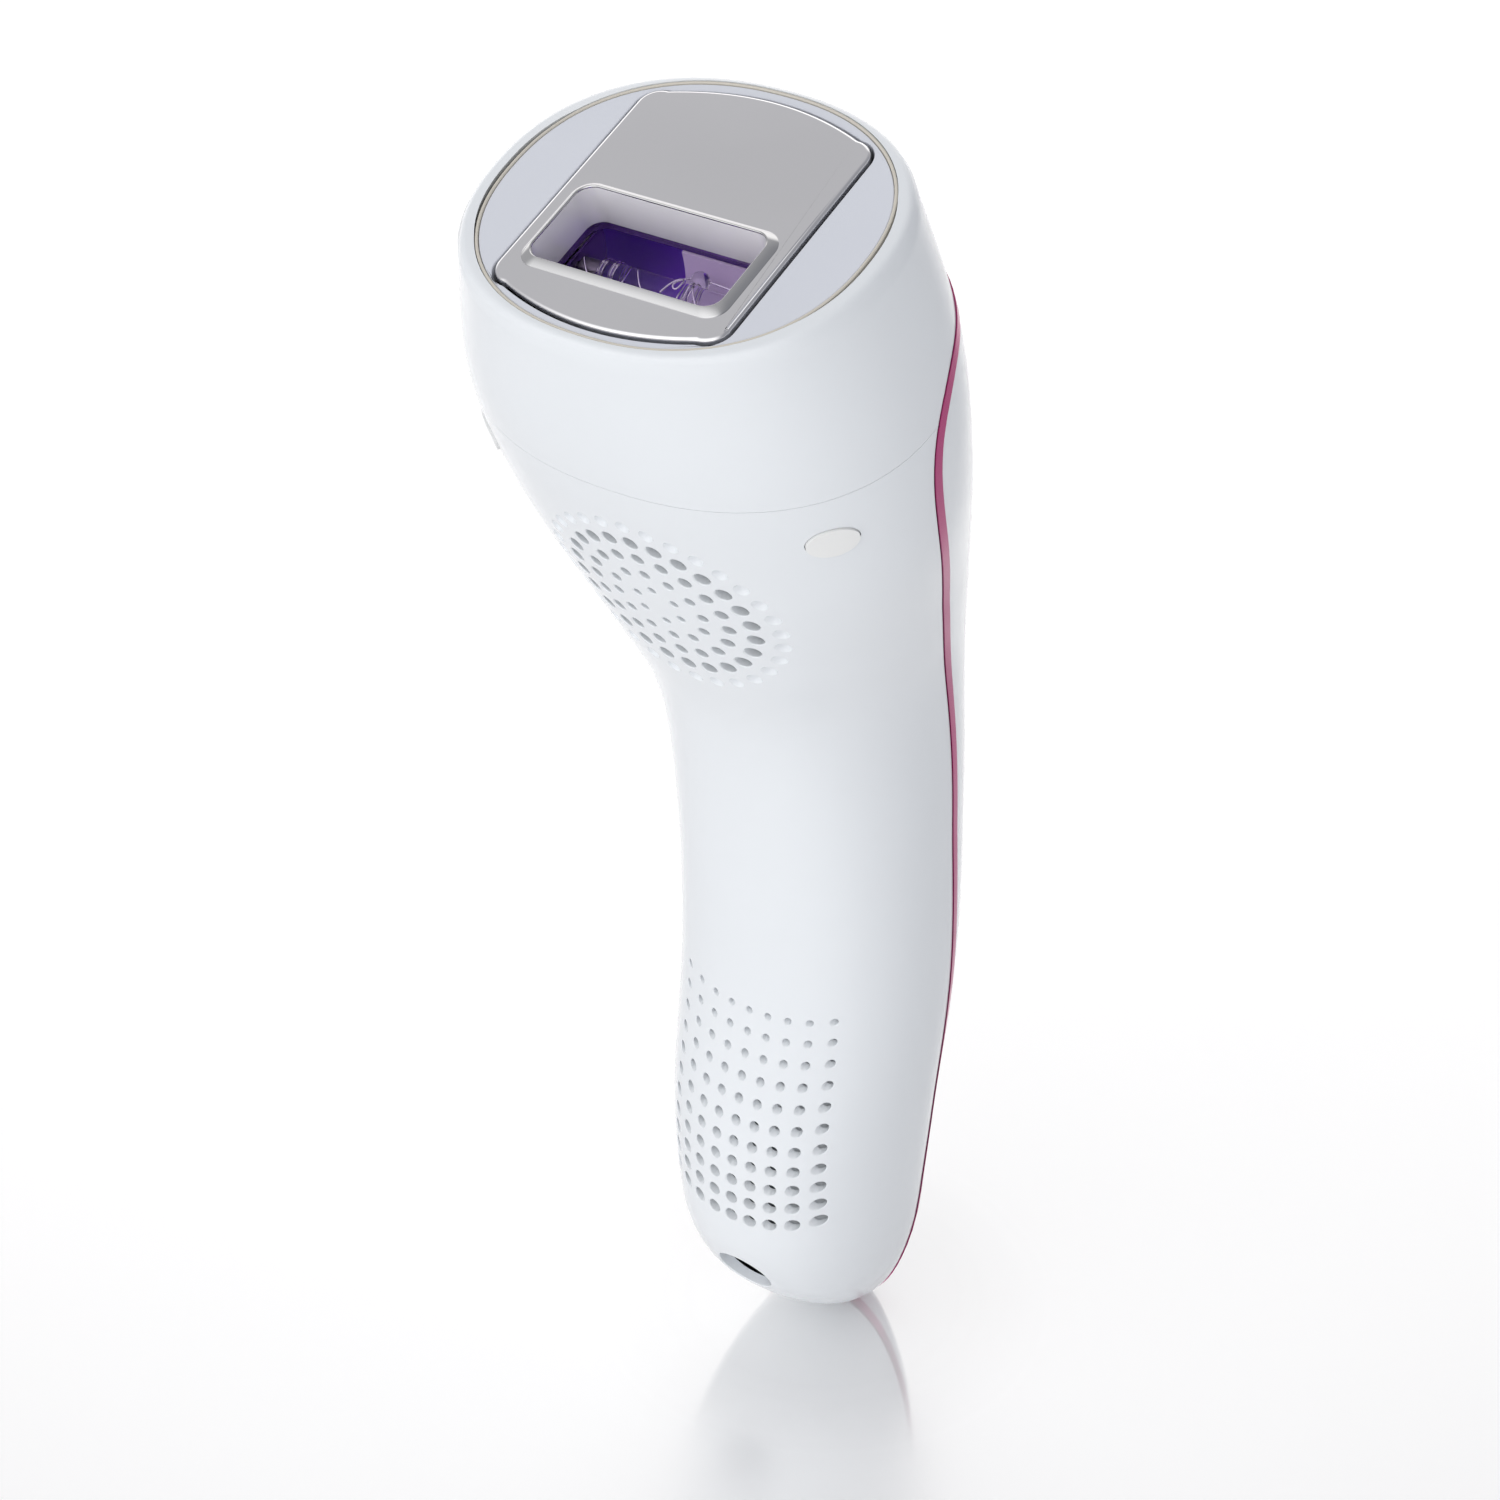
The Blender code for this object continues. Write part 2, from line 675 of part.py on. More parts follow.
def back_pieces():
    """Buttons, their switches and the indicator lens on the back of the handle."""
    board_back = BOARD_FRONT + BOARD_THICKNESS
    back_button("flash_button", back_outline(FLASH_HALF, FLASH_HEIGHT), FLASH_HEIGHT)
    back_button("level_button", back_outline([LEVEL_RADIUS] * 2, LEVEL_HEIGHT, 24), LEVEL_HEIGHT)
    lens = mesh_object("indicator_lens", back_prism(lens_outline(), BUTTON_BACK, BACK_REACH), SMOKE)
    combine(lens, outer_skin, "INTERSECT")
    for name, height in (("flash_switch", FLASH_HEIGHT), ("level_switch", LEVEL_HEIGHT)):
        body = box(SWITCH_SIZE, (0.0, board_back + GAP + SWITCH_SIZE[1] / 2.0, height))
        mesh_object(name, body, BLACK, smooth=False)


def release_buttons():
    for side, name in ((-1, "left"), (1, "right")):
        matrix = release_matrix(side)
        body = placed(prism(ellipse(*RELEASE_HALF), -RELEASE_LENGTH, 8.0), matrix)
        button = mesh_object("release_button_" + name, body, IVORY, origin=matrix.translation)
        combine(button, proud_skin, "INTERSECT")
        release_spring("release_spring_" + name, matrix)


def release_spring(name, matrix):
    """A coil behind a release button, as a wire on a helix with a round of 10 points."""
    curve = bpy.data.curves.new(name, "CURVE")
    curve.dimensions = "3D"
    curve.bevel_depth = SPRING_WIRE * MM
    curve.bevel_resolution = 1
    curve.use_fill_caps = True
    per_turn = 10
    spline = curve.splines.new("POLY")
    spline.points.add(SPRING_TURNS * per_turn)
    for i, point in enumerate(spline.points):
        angle = math.tau * i / per_turn
        along = -SPRING_START - GAP - SPRING_WIRE - SPRING_LENGTH * i / (SPRING_TURNS * per_turn)
        local = Vector((SPRING_RADIUS * math.cos(angle), SPRING_RADIUS * math.sin(angle), along))
        point.co = (*(matrix @ local * MM), 1.0)
    curve.materials.append(STEEL)
    spring = bpy.data.objects.new(name, curve)
    PARTS.objects.link(spring)
    weld = spring.modifiers.new("weld", "WELD")
    weld.merge_threshold = 0.00001


def spring_seat_depth():
    return -(SPRING_START + GAP + 2.0 * SPRING_WIRE + SPRING_LENGTH + GAP)


def socket_plate():
    """Bulkhead under the cartridge, with two ribs that the release springs push against."""
    middle = (SOCKET_TOP + SOCKET_BOTTOM) / 2.0
    slab = box((90.0, 90.0, SOCKET_TOP - SOCKET_BOTTOM), (0.0, 0.0, middle))
    plate = mesh_object("socket_plate", slab, BLACK, face_frame)
    combine(plate, core, "INTERSECT")
    seat = spring_seat_depth()
    openings = bmesh.new()
    for side in (-1, 1):
        rib = placed(box(SPRING_RIB, (0.0, 0.0, seat - SPRING_RIB[2] / 2.0)), release_matrix(side))
        combine(plate, mesh_object("spring_rib", rib), "UNION")
        merge(openings, box(SOCKET_SLOT, (side * BLADE_X, BLADE_Y, middle)))
        screw_at = (side * SOCKET_SCREW[0], SOCKET_SCREW[1], 0.0)
        merge(openings, rod(1.3, middle - 4.0, middle + 4.0, "Z", screw_at, 12))
    cut(plate, mesh_object("socket_openings", openings, parent=face_frame))


def contact_block():
    body = box(CONTACT_BLOCK, (0.0, BLADE_Y, CONTACT_BLOCK_DROP))
    block = mesh_object("contact_block", body, BLACK, face_frame, smooth=False)
    slots = bmesh.new()
    for side in (-1, 1):
        merge(slots, box(SOCKET_SLOT, (side * BLADE_X, BLADE_Y, CONTACT_SLOT_DROP)))
    cut(block, mesh_object("contact_slots", slots, parent=face_frame))


def socket_screws():
    """Two pan-head screws that hold the bulkhead down."""
    top = SOCKET_TOP + 1.5
    profile = ((1.0, SOCKET_SCREW_END), (1.0, top - 1.2), (2.3, top - 1.2), (2.3, top - 0.5), (1.7, top))
    for name, side in (("socket_screw_left", -1), ("socket_screw_right", 1)):
        at = (side * SOCKET_SCREW[0], SOCKET_SCREW[1], 0.0)
        mesh_object(name, turned(profile, "Z", at, 14), STEEL, face_frame)


def fan_corner(sx, sz):
    """Place of a frame screw, on the fan frame's diagonal."""
    reach = FAN_HALF - FAN_SCREW_INSET
    return (sx * reach, 0.0, FAN_CENTRE + sz * reach)


def outlet_outline(index, inner=6.0, outer=12.0, share=0.86, steps=8):
    """One of the three outlet windows in the fan frame's back, as a sector of a ring."""
    start = math.tau * index / 3.0
    angles = [start + math.tau / 3.0 * share * i / steps for i in range(steps + 1)]
    polar = [(outer, angle) for angle in angles] + [(inner, angle) for angle in reversed(angles)]
    return [(r * math.cos(angle), FAN_CENTRE + r * math.sin(angle)) for r, angle in polar]


def fan():
    back = FAN_FRONT + FAN_DEPTH
    to_y = Matrix.Rotation(math.radians(90.0), 4, "X")
    outline = rounded_rectangle(FAN_HALF, FAN_HALF, FAN_CORNER, (0.0, FAN_CENTRE))
    frame = mesh_object("fan_frame", placed(prism(outline, -back, -FAN_FRONT), to_y), BLACK, face_frame)
    bore = rod(FAN_BORE, FAN_FRONT - 1.0, back - FAN_BACK_WALL, "Y", (0.0, 0.0, FAN_CENTRE), 32)
    outlet = bmesh.new()
    for i in range(3):
        merge(outlet, placed(prism(outlet_outline(i), -back - 1.0, -back + 2.0), to_y))
    holes = rod(FAN_SHAFT + GAP, back - 3.0, back + 1.0, "Y", (0.0, 0.0, FAN_CENTRE), 12)
    profile = ((1.7, FAN_FRONT - 1.7), (2.1, FAN_FRONT - 1.2), (2.1, FAN_FRONT - GAP),
               (0.95, FAN_FRONT - GAP), (0.95, back + 1.5))
    for name, sx, sz in (("fan_screw_upper", -1, 1), ("fan_screw_lower", 1, -1)):
        merge(holes, rod(1.25, FAN_FRONT - 1.0, back + 1.0, "Y", fan_corner(sx, sz), 10))
        mesh_object(name, turned(profile, "Y", fan_corner(sx, sz), 12), STEEL, face_frame)
    cutters = (("fan_bore", bore), ("fan_outlet", outlet), ("fan_holes", holes))
    cut(frame, *(mesh_object(name, bm, parent=face_frame) for name, bm in cutters))


def fan_rotor():
    """Hub, shaft and twisted blades, with its origin on the spin axis."""
    profile = ((FAN_HUB[0], FAN_FRONT + 0.6), (FAN_HUB[1], FAN_FRONT + 1.1), (FAN_HUB[1], FAN_FRONT + 6.2),
               (FAN_SHAFT, FAN_FRONT + 6.2), (FAN_SHAFT, FAN_FRONT + FAN_DEPTH))
    middle = (0.0, FAN_MIDDLE, FAN_CENTRE)
    hub = turned(profile, "Y", (0.0, 0.0, FAN_CENTRE), 20)
    rotor = mesh_object("fan_rotor", hub, BLACK, face_frame, origin=middle)
    twist = Matrix.Rotation(math.radians(FAN_BLADE_TWIST), 4, "Z")
    for i in range(FAN_BLADES):
        turn = Matrix.Rotation(math.tau * i / FAN_BLADES, 4, "Y")
        blade = placed(box(FAN_BLADE_SIZE, (0.0, 0.0, FAN_BLADE_RADIUS)),
                       Matrix.Translation(middle) @ turn @ twist)
        combine(rotor, mesh_object("fan_blade", blade, parent=face_frame), "UNION")


def main_board():
    height = BOARD_SPAN[1] - BOARD_SPAN[0]
    at = (0.0, BOARD_FRONT + BOARD_THICKNESS / 2.0, sum(BOARD_SPAN) / 2.0)
    body = box((2.0 * BOARD_HALF_WIDTH, BOARD_THICKNESS, height), at)
    board = mesh_object("main_board", body, BOARD, smooth=False)
    back = BOARD_FRONT + BOARD_THICKNESS
    profile = ((1.0, BOARD_FRONT - 3.0), (1.0, back + GAP), (2.1, back + GAP), (2.1, back + 1.3))
    holes = bmesh.new()
    for name, height in zip(("board_screw_lower", "board_screw_upper"), BOARD_SCREW_HEIGHTS):
        at = (BOARD_SCREW_X, 0.0, height)
        merge(holes, rod(1.3, BOARD_FRONT - 5.0, back + 5.0, "Y", at, 12))
        mesh_object(name, turned(profile, "Y", at, 12), STEEL)
    cut(board, mesh_object("board_holes", holes))


def flash_supply():
    """Capacitor, trigger transformer and choke, which charge and fire the lamp."""
    mesh_object("capacitor", turned(CAPACITOR_PROFILE, "Z", (0.0, CAPACITOR_DEPTH, 0.0), 24), BLACK)
    core = mesh_object("trigger_transformer", box(TRANSFORMER_SIZE, (0.0, *TRANSFORMER_AT)), BLACK,
                       smooth=False)
    windows = bmesh.new()
    for side in (-1, 1):
        merge(windows, box(TRANSFORMER_WINDOW, (side * TRANSFORMER_WINDOW_X, *TRANSFORMER_AT)))
    cut(core, mesh_object("transformer_windows", windows))
    outer, inner = [ellipse(radius, radius, 20, (0.0, INDUCTOR_DEPTH)) for radius in INDUCTOR_RADII]
    mesh_object("inductor", prism(outer, *INDUCTOR_SPAN, inner), BRASS)


def power_inlet():
    """A barrel socket that sits behind the recess, with its own centre pin."""
    matrix = inlet_matrix()
    jack = mesh_object("dc_jack", placed(rod(JACK_RADIUS, *JACK_SPAN, count=24), matrix), BLACK)
    for name, sizes in (("jack_recess", JACK_RECESS), ("jack_bore", JACK_BORE)):
        cut(jack, mesh_object(name, placed(rod(*sizes, count=24), matrix)))
    mesh_object("dc_pin", placed(turned(JACK_PIN, count=12), matrix), STEEL)


# ---------------------------------------------------------------- lamp cartridge


def head_shell():
    shell = mesh_object("head_shell", outer_form(rim=RIM_RADIUS), WHITE)
    pocket = mesh_object("panel_pocket", prism(squared_ellipse(*PANEL_POCKET), POCKET_FLOOR, 5.0),
                         parent=face_frame)
    cut(shell, front_of_rear, below_seam, cavity, pocket)


def treatment_face():
    ring = prism(squared_ellipse(*RIM_RING_OUTER), PANEL_BOTTOM, RIM_RING_TOP,
                 squared_ellipse(*RIM_RING_INNER))
    mesh_object("rim_ring", ring, IVORY, face_frame)
    panel = mesh_object("face_panel", prism(squared_ellipse(*PANEL_HALF), PANEL_BOTTOM, PANEL_TOP),
                        PANEL_GREY, face_frame)
    slot = mesh_object("plate_slot", prism(plate_outline(GAP), -6.0, 3.0), parent=face_frame)
    cut(panel, slot)
    grown = [half + GAP for half in WINDOW_OUTER]
    around = rounded_rectangle(*grown, WINDOW_CORNER + GAP, (0.0, WINDOW_CENTRE))
    window_hole = mesh_object("window_hole", prism(around, -9.0, 3.0), parent=face_frame)
    plate = mesh_object("contact_plate", prism(plate_outline(), PLATE_BOTTOM, PLATE_TOP), STEEL, face_frame)
    cut(plate, window_hole)
    deck = prism(squared_ellipse(*CHASSIS_HALF), CHASSIS_BOTTOM, POCKET_FLOOR - 0.1)
    deck = mesh_object("head_chassis", deck, BLACK, face_frame)
    pad = mesh_object("plate_pad", prism(plate_outline(-0.8), -4.0, PLATE_BOTTOM - GAP), parent=face_frame)
    combine(deck, pad, "UNION")
    cut(deck, window_hole)


def window():
    """Raised steel bezel, the white liner of the well under it, and the filter in its rebate."""
    centre = (0.0, WINDOW_CENTRE)
    outer = rounded_rectangle(*WINDOW_OUTER, WINDOW_CORNER, centre)
    inner = rounded_rectangle(*WINDOW_INNER, WINDOW_CORNER - 0.8, centre)
    mesh_object("window_bezel", prism(outer, LINER_TOP + GAP, WINDOW_TOP, inner), STEEL, face_frame)
    liner = mesh_object("window_liner", prism(outer, LINER_BOTTOM, LINER_TOP, inner), WHITE, face_frame)
    rebate = rounded_rectangle(GLASS_HALF[0] + GAP, GLASS_HALF[1] + GAP, 2.5, centre)
    cut(liner, mesh_object("glass_rebate", prism(rebate, -12.0, GLASS_TOP + GAP), parent=face_frame))
    glass = prism(rounded_rectangle(*GLASS_HALF, 2.2, centre), GLASS_TOP - GLASS_THICKNESS, GLASS_TOP)
    mesh_object("filter_glass", glass, FILTER, face_frame)


def reflector():
    """Polished trough under the filter, open at the top and at both ends."""
    steps = 12
    angles = [math.pi * i / steps for i in range(steps + 1)]
    arcs = []
    for shrink in (0.0, REFLECTOR_SHEET):
        half, deep = REFLECTOR_HALF_WIDTH - shrink, REFLECTOR_DEPTH - shrink
        arcs.append([(WINDOW_CENTRE + half * math.cos(a), REFLECTOR_TOP - deep * math.sin(a))
                     for a in angles])
    outline = arcs[0] + list(reversed(arcs[1]))
    trough = placed(prism(outline, -REFLECTOR_HALF_LENGTH, REFLECTOR_HALF_LENGTH), SIDE_VIEW)
    mesh_object("reflector", trough, STEEL, face_frame)


def lamp():
    """Quartz tube with an electrode in each end, held by two open ceramic cradles."""
    at = (0.0, TUBE_CENTRE, TUBE_DROP)
    circle = ellipse(TUBE_RADIUS, TUBE_RADIUS, 20)
    bore = ellipse(TUBE_BORE, TUBE_BORE, 20)
    tube = prism(circle, -TUBE_HALF_LENGTH, TUBE_HALF_LENGTH, bore)
    along_x = Matrix.Translation(at) @ Matrix.Rotation(math.radians(90.0), 4, "Y")
    mesh_object("flash_tube", placed(tube, along_x), QUARTZ, face_frame)
    for name, side in (("left", -1), ("right", 1)):
        turn = Matrix.Translation(at) @ Matrix.Rotation(math.radians(90.0 * side), 4, "Y")
        mesh_object("electrode_" + name, placed(turned(ELECTRODE, count=16), turn), STEEL, face_frame)
        body = box(HOLDER_SIZE, (side * HOLDER_X, WINDOW_CENTRE, HOLDER_DROP))
        holder = mesh_object("lamp_holder_" + name, body, CERAMIC, face_frame)
        bore_cutter = rod(TUBE_RADIUS + GAP, 15.0, 20.0, "Z", count=20)
        cut(holder, mesh_object("holder_bore", placed(bore_cutter, turn), parent=face_frame))


def tub_outline(inset):
    return squared_ellipse(TUB_HALF[0] - inset, TUB_HALF[1] - inset, centre=TUB_CENTRE)


def cartridge_tub():
    tub = mesh_object("cartridge_tub", prism(tub_outline(0.0), TUB_BOTTOM, TUB_TOP), WHITE, face_frame)
    slots = bmesh.new()
    for side in (-1, 1):
        merge(slots, box(BLADE_SLOT, (side * BLADE_X, BLADE_Y, TUB_BOTTOM)))
    hollow = prism(tub_outline(TUB_WALL), TUB_BOTTOM + TUB_WALL, 0.0)
    cut(tub, mesh_object("tub_hollow", hollow, parent=face_frame))
    cut(tub, mesh_object("blade_slots", slots, parent=face_frame))
    for name, side in (("contact_blade_left", -1), ("contact_blade_right", 1)):
        blade = box(BLADE_SIZE, (side * BLADE_X, BLADE_Y, BLADE_DROP))
        mesh_object(name, blade, BRASS, face_frame, smooth=False)


# ---------------------------------------------------------------- build

front_housing()
rear_cover()
trim_ring()
back_pieces()
release_buttons()
socket_plate()
contact_block()
socket_screws()
fan()
fan_rotor()
main_board()
flash_supply()
power_inlet()
head_shell()
treatment_face()
window()
reflector()
lamp()
cartridge_tub()
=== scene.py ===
"""Looks of the IPL hair remover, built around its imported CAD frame.

Lengths in the tables are in millimetres and are turned into metres where meshes are made. The
face frame has its origin at the middle of the treatment face and its +Z along the face normal.
"""

import json
import math

import bmesh
import bpy
from mathutils import Matrix, Vector
from mathutils.bvhtree import BVHTree

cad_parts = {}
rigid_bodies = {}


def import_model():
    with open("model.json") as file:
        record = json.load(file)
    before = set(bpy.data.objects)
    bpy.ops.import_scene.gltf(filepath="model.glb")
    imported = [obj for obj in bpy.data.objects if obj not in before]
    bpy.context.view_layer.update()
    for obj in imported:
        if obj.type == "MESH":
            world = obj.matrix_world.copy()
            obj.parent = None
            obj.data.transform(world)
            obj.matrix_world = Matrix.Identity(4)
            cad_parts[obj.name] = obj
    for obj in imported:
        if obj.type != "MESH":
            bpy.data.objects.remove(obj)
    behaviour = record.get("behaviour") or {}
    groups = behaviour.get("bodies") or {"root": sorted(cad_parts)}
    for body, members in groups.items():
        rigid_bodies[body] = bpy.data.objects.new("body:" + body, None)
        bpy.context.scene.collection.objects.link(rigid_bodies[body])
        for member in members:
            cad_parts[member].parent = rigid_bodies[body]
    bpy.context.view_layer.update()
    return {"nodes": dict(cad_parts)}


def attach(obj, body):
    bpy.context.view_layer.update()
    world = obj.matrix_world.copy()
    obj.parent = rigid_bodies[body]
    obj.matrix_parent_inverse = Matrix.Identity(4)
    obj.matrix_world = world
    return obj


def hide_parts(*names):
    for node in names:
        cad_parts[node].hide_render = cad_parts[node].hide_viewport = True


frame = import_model()

MM = 0.001

# ---------------------------------------------------------------- shape of the body

FACE_TILT = 20.5
FACE_CENTRE = Vector((0.0, -16.1, 215.7))
FACE = Matrix.Translation(FACE_CENTRE) @ Matrix.Rotation(math.radians(FACE_TILT), 4, "X")

# height, tilt, depth of the centre, half width, half depth to the front, half depth to the back
SECTIONS = (
    (0.9, -20.5, 21.4, 16.8, 20.2, 19.2),
    (17.6, -15.7, 15.6, 17.5, 21.2, 20.2),
    (47.6, -3.9, 14.8, 20.3, 20.7, 21.2),
    (77.6, 0.0, 18.1, 21.7, 19.0, 21.6),
    (107.6, 2.0, 17.7, 21.8, 19.9, 22.1),
    (132.6, 6.0, 14.8, 22.5, 22.3, 23.1),
    (152.6, 12.0, 7.3, 27.3, 24.5, 24.4),
    (175.3, 20.5, -3.8, 34.3, 24.5, 25.2),
    (195.2, 20.5, -10.5, 35.6, 26.7, 26.3),
    (215.7, 20.5, -16.1, 31.0, 26.2, 25.8),
)
SQUARENESS = 2.25
END_HEIGHT = 29.3
END_ROUNDNESS = 2.1
END_START = 0.03
TOP_NUMBER = len(SECTIONS) - 1
TOP_SPACING = 22.0
RIM_RADIUS = 1.1
WALL = 2.2
CAVITY_TOP = 4.0
SEAM_GAP = 0.07
TRIM_GAP = 0.14

RING_POINTS = 120
# the rings stand close together up to this section number, and evenly from there to the top
END_FROM = 1.6
END_RINGS = 18
BODY_RINGS = 76
RIM_STEPS = 6

# side view (depth, height) of the trim between the front housing and the rear cover
TRIM_ROUTE = (
    (23.4, -12.0),
    (24.8, 25.0),
    (26.4, 60.0),
    (24.1, 100.0),
    (20.1, 129.0),
    (7.3, 155.0),
    (-5.3, 175.0),
    (-9.2, 187.7),
    (-5.6, 197.5),
    (2.9, 203.6),
    (13.9, 208.8),
    (33.5, 217.8),
)
TRIM_STEPS = 12
TRIM_WIDTH = 1.6
TRIM_THICKNESS = 1.6
TRIM_PROUD = 0.2
SEAM_DROP = 24.6


def smooth_value(before, start, end, after, t):
    """Catmull-Rom interpolation between start and end."""
    return 0.5 * (2.0 * start + (end - before) * t
                  + (2.0 * before - 5.0 * start + 4.0 * end - after) * t * t
                  + (3.0 * start - before - 3.0 * end + after) * t ** 3)


def smooth_row(rows, number):
    """Reads a table of rows at a fractional row number, along a smooth curve."""
    last = len(rows) - 1
    i = min(max(int(number), 0), last - 1)
    start, end = rows[i], rows[i + 1]
    before = rows[i - 1] if i > 0 else [2.0 * a - b for a, b in zip(start, end)]
    after = rows[i + 2] if i + 2 <= last else [2.0 * b - a for a, b in zip(start, end)]
    return [smooth_value(*values, number - i) for values in zip(before, start, end, after)]


def squared_ellipse(half_x, half_y, centre=(0.0, 0.0)):
    points = []
    for i in range(RING_POINTS):
        angle = math.tau * i / RING_POINTS
        c, s = math.cos(angle), math.sin(angle)
        reach = (abs(c) ** SQUARENESS + abs(s) ** SQUARENESS) ** (-1.0 / SQUARENESS)
        points.append((centre[0] + half_x * c * reach, centre[1] + half_y * s * reach))
    return points


def end_scale(rise):
    """How full the section is at a height above the bottom end, from 0 to 1."""
    share = min(max(rise / END_HEIGHT, 0.0), 1.0)
    return (1.0 - (1.0 - share) ** END_ROUNDNESS) ** (1.0 / END_ROUNDNESS)


def body_ring(number, inset, lift=0.0):
    """One section of the body, moved inwards by the inset and up its own normal by lift."""
    height, tilt, centre, half_width, front, back = smooth_row(SECTIONS, number)
    full = end_scale(height - SECTIONS[0][0] - inset)
    lean = math.radians(tilt)
    points = []
    for c, s in squared_ellipse(1.0, 1.0):
        x = (half_width - inset) * c * full
        depth = ((front if s < 0.0 else back) - inset) * s * full
        y = centre + depth * math.cos(lean) - lift * math.sin(lean)
        points.append((x, y, height + depth * math.sin(lean) + lift * math.cos(lean)))
    return points


def ring_numbers(first, last):
    """Section numbers for the rings: close together round the bottom end, then even."""
    numbers = []
    for i in range(END_RINGS):
        share = 1.0 - math.cos(math.pi / 2.0 * i / END_RINGS)
        numbers.append(first + (END_FROM - first) * share)
    step = (last - END_FROM) / BODY_RINGS
    numbers += [END_FROM + step * i for i in range(BODY_RINGS + 1)]
    return numbers


def skin_rings(bm, rings):
    """Joins closed rings of points into one closed surface with capped ends."""
    loops = [[bm.verts.new(point) for point in ring] for ring in rings]
    count = len(loops[0])
    for lower, upper in zip(loops, loops[1:]):
        for i in range(count):
            j = (i + 1) % count
            bm.faces.new((lower[i], lower[j], upper[j], upper[i]))
    bm.faces.new(list(reversed(loops[0])))
    bm.faces.new(loops[-1])


def body_form(inset=0.0, top=0.0, rim=0.0):
    """The closed body, or the same form moved inwards, with an optional rounded rim."""
    spacing = SECTIONS[1][0] - SECTIONS[0][0]
    first = (max(inset, 0.0) + END_START) / spacing
    last = TOP_NUMBER - rim / TOP_SPACING
    rings = [body_ring(number, inset) for number in ring_numbers(first, last)]
    if rim:
        for i in range(1, RIM_STEPS + 1):
            turn = math.pi / 2.0 * i / RIM_STEPS
            drop = rim * (1.0 - math.sin(turn))
            rings.append(body_ring(TOP_NUMBER, inset + rim * (1.0 - math.cos(turn)), -drop))
    else:
        rings.append(body_ring(TOP_NUMBER, inset, top))
    bm = bmesh.new()
    skin_rings(bm, rings)
    return bm


# ---------------------------------------------------------------- mesh helpers

BEVEL_ANGLE = 30.0
# how near the uncut skin (m) a point must lie, and how well the normals must agree, to be smoothed
SKIN_REACH = 0.00003
SKIN_AGREEMENT = 0.8

scratch = bpy.data.collections.new("scratch")
bpy.context.scene.collection.children.link(scratch)


def placed(bm, matrix):
    """Moves a bmesh by a matrix and hands it back."""
    bmesh.ops.transform(bm, matrix=matrix, verts=bm.verts)
    return bm


def mesh_from(name, bm, matrix=None):
    """A mesh in metres from a bmesh in millimetres, placed by the matrix."""
    if matrix is not None:
        placed(bm, matrix)
    bmesh.ops.scale(bm, vec=(MM, MM, MM), verts=bm.verts)
    bmesh.ops.recalc_face_normals(bm, faces=bm.faces)
    mesh = bpy.data.meshes.new(name)
    bm.to_mesh(mesh)
    bm.free()
    return mesh


def cutter(bm, matrix=None):
    obj = bpy.data.objects.new("cutter", mesh_from("cutter", bm, matrix))
    scratch.objects.link(obj)
    return obj


def piece(name, bm, matrix=None):
    obj = bpy.data.objects.new(name, mesh_from(name, bm, matrix))
    bpy.context.scene.collection.objects.link(obj)
    return obj


def evaluated_mesh(obj):
    """Replaces the object's mesh by its modified mesh and drops the modifiers."""
    depsgraph = bpy.context.evaluated_depsgraph_get()
    mesh = bpy.data.meshes.new_from_object(obj.evaluated_get(depsgraph))
    obj.modifiers.clear()
    obj.data = mesh


def combine(obj, *steps):
    """Runs (operation, cutter) Booleans in order and keeps the result as the mesh."""
    for operation, other in steps:
        modifier = obj.modifiers.new(operation, "BOOLEAN")
        modifier.object = other
        modifier.operation = operation
        modifier.solver = "EXACT"
    evaluated_mesh(obj)
    return obj


def cut(obj, *cutters):
    return combine(obj, *(("DIFFERENCE", other) for other in cutters))


def merge(target, addition):
    """Moves one bmesh into another as separate bodies."""
    mesh = bpy.data.meshes.new("merged")
    addition.to_mesh(mesh)
    addition.free()
    target.from_mesh(mesh)
    bpy.data.meshes.remove(mesh)


def shade(obj, angle=35.0):
    obj.data.shade_smooth()
    obj.data.set_sharp_from_angle(angle=math.radians(angle))
    return obj


def bevelled(obj, width, segments=3):
    """Rounds the edges of a finished piece, in millimetres, and keeps its flats flat."""
    modifier = obj.modifiers.new("rounded", "BEVEL")
    modifier.width = width * MM
    modifier.segments = segments
    modifier.limit_method = "ANGLE"
    modifier.angle_limit = math.radians(BEVEL_ANGLE)
    modifier.harden_normals = True
    obj.data.shade_smooth()
    evaluated_mesh(obj)
    return obj


def reference_tree(bm):
    """Search tree, points, smooth normals and faces of the uncut body."""
    mesh = mesh_from("reference", bm)
    verts = [v.co.copy() for v in mesh.vertices]
    normals = [v.normal.copy() for v in mesh.vertices]
    faces = [tuple(p.vertices) for p in mesh.polygons]
    return BVHTree.FromPolygons(verts, faces), verts, normals, faces


def skin_normal(place):
    """The uncut body's normal at a place on its skin, or None away from the skin."""
    tree, verts, normals, faces = reference
    point, _, face, distance = tree.find_nearest(place)
    if face is None or distance > SKIN_REACH:
        return None
    total = Vector((0.0, 0.0, 0.0))
    for v in faces[face]:
        total += normals[v] * (1.0 / max((verts[v] - point).length, 1e-7) ** 2)
    return total.normalized()


def smooth_skin(obj):
    """Gives faces that lie on the uncut body that body's own smooth normals."""
    shade(obj)
    mesh = obj.data
    corner = [Vector(n.vector) for n in mesh.corner_normals]
    smooth = [skin_normal(vertex.co) for vertex in mesh.vertices]
    for polygon in mesh.polygons:
        for loop in polygon.loop_indices:
            normal = smooth[mesh.loops[loop].vertex_index]
            if normal is not None and normal.dot(polygon.normal) > SKIN_AGREEMENT:
                corner[loop] = normal
    mesh.normals_split_custom_set(corner)


# ---------------------------------------------------------------- materials

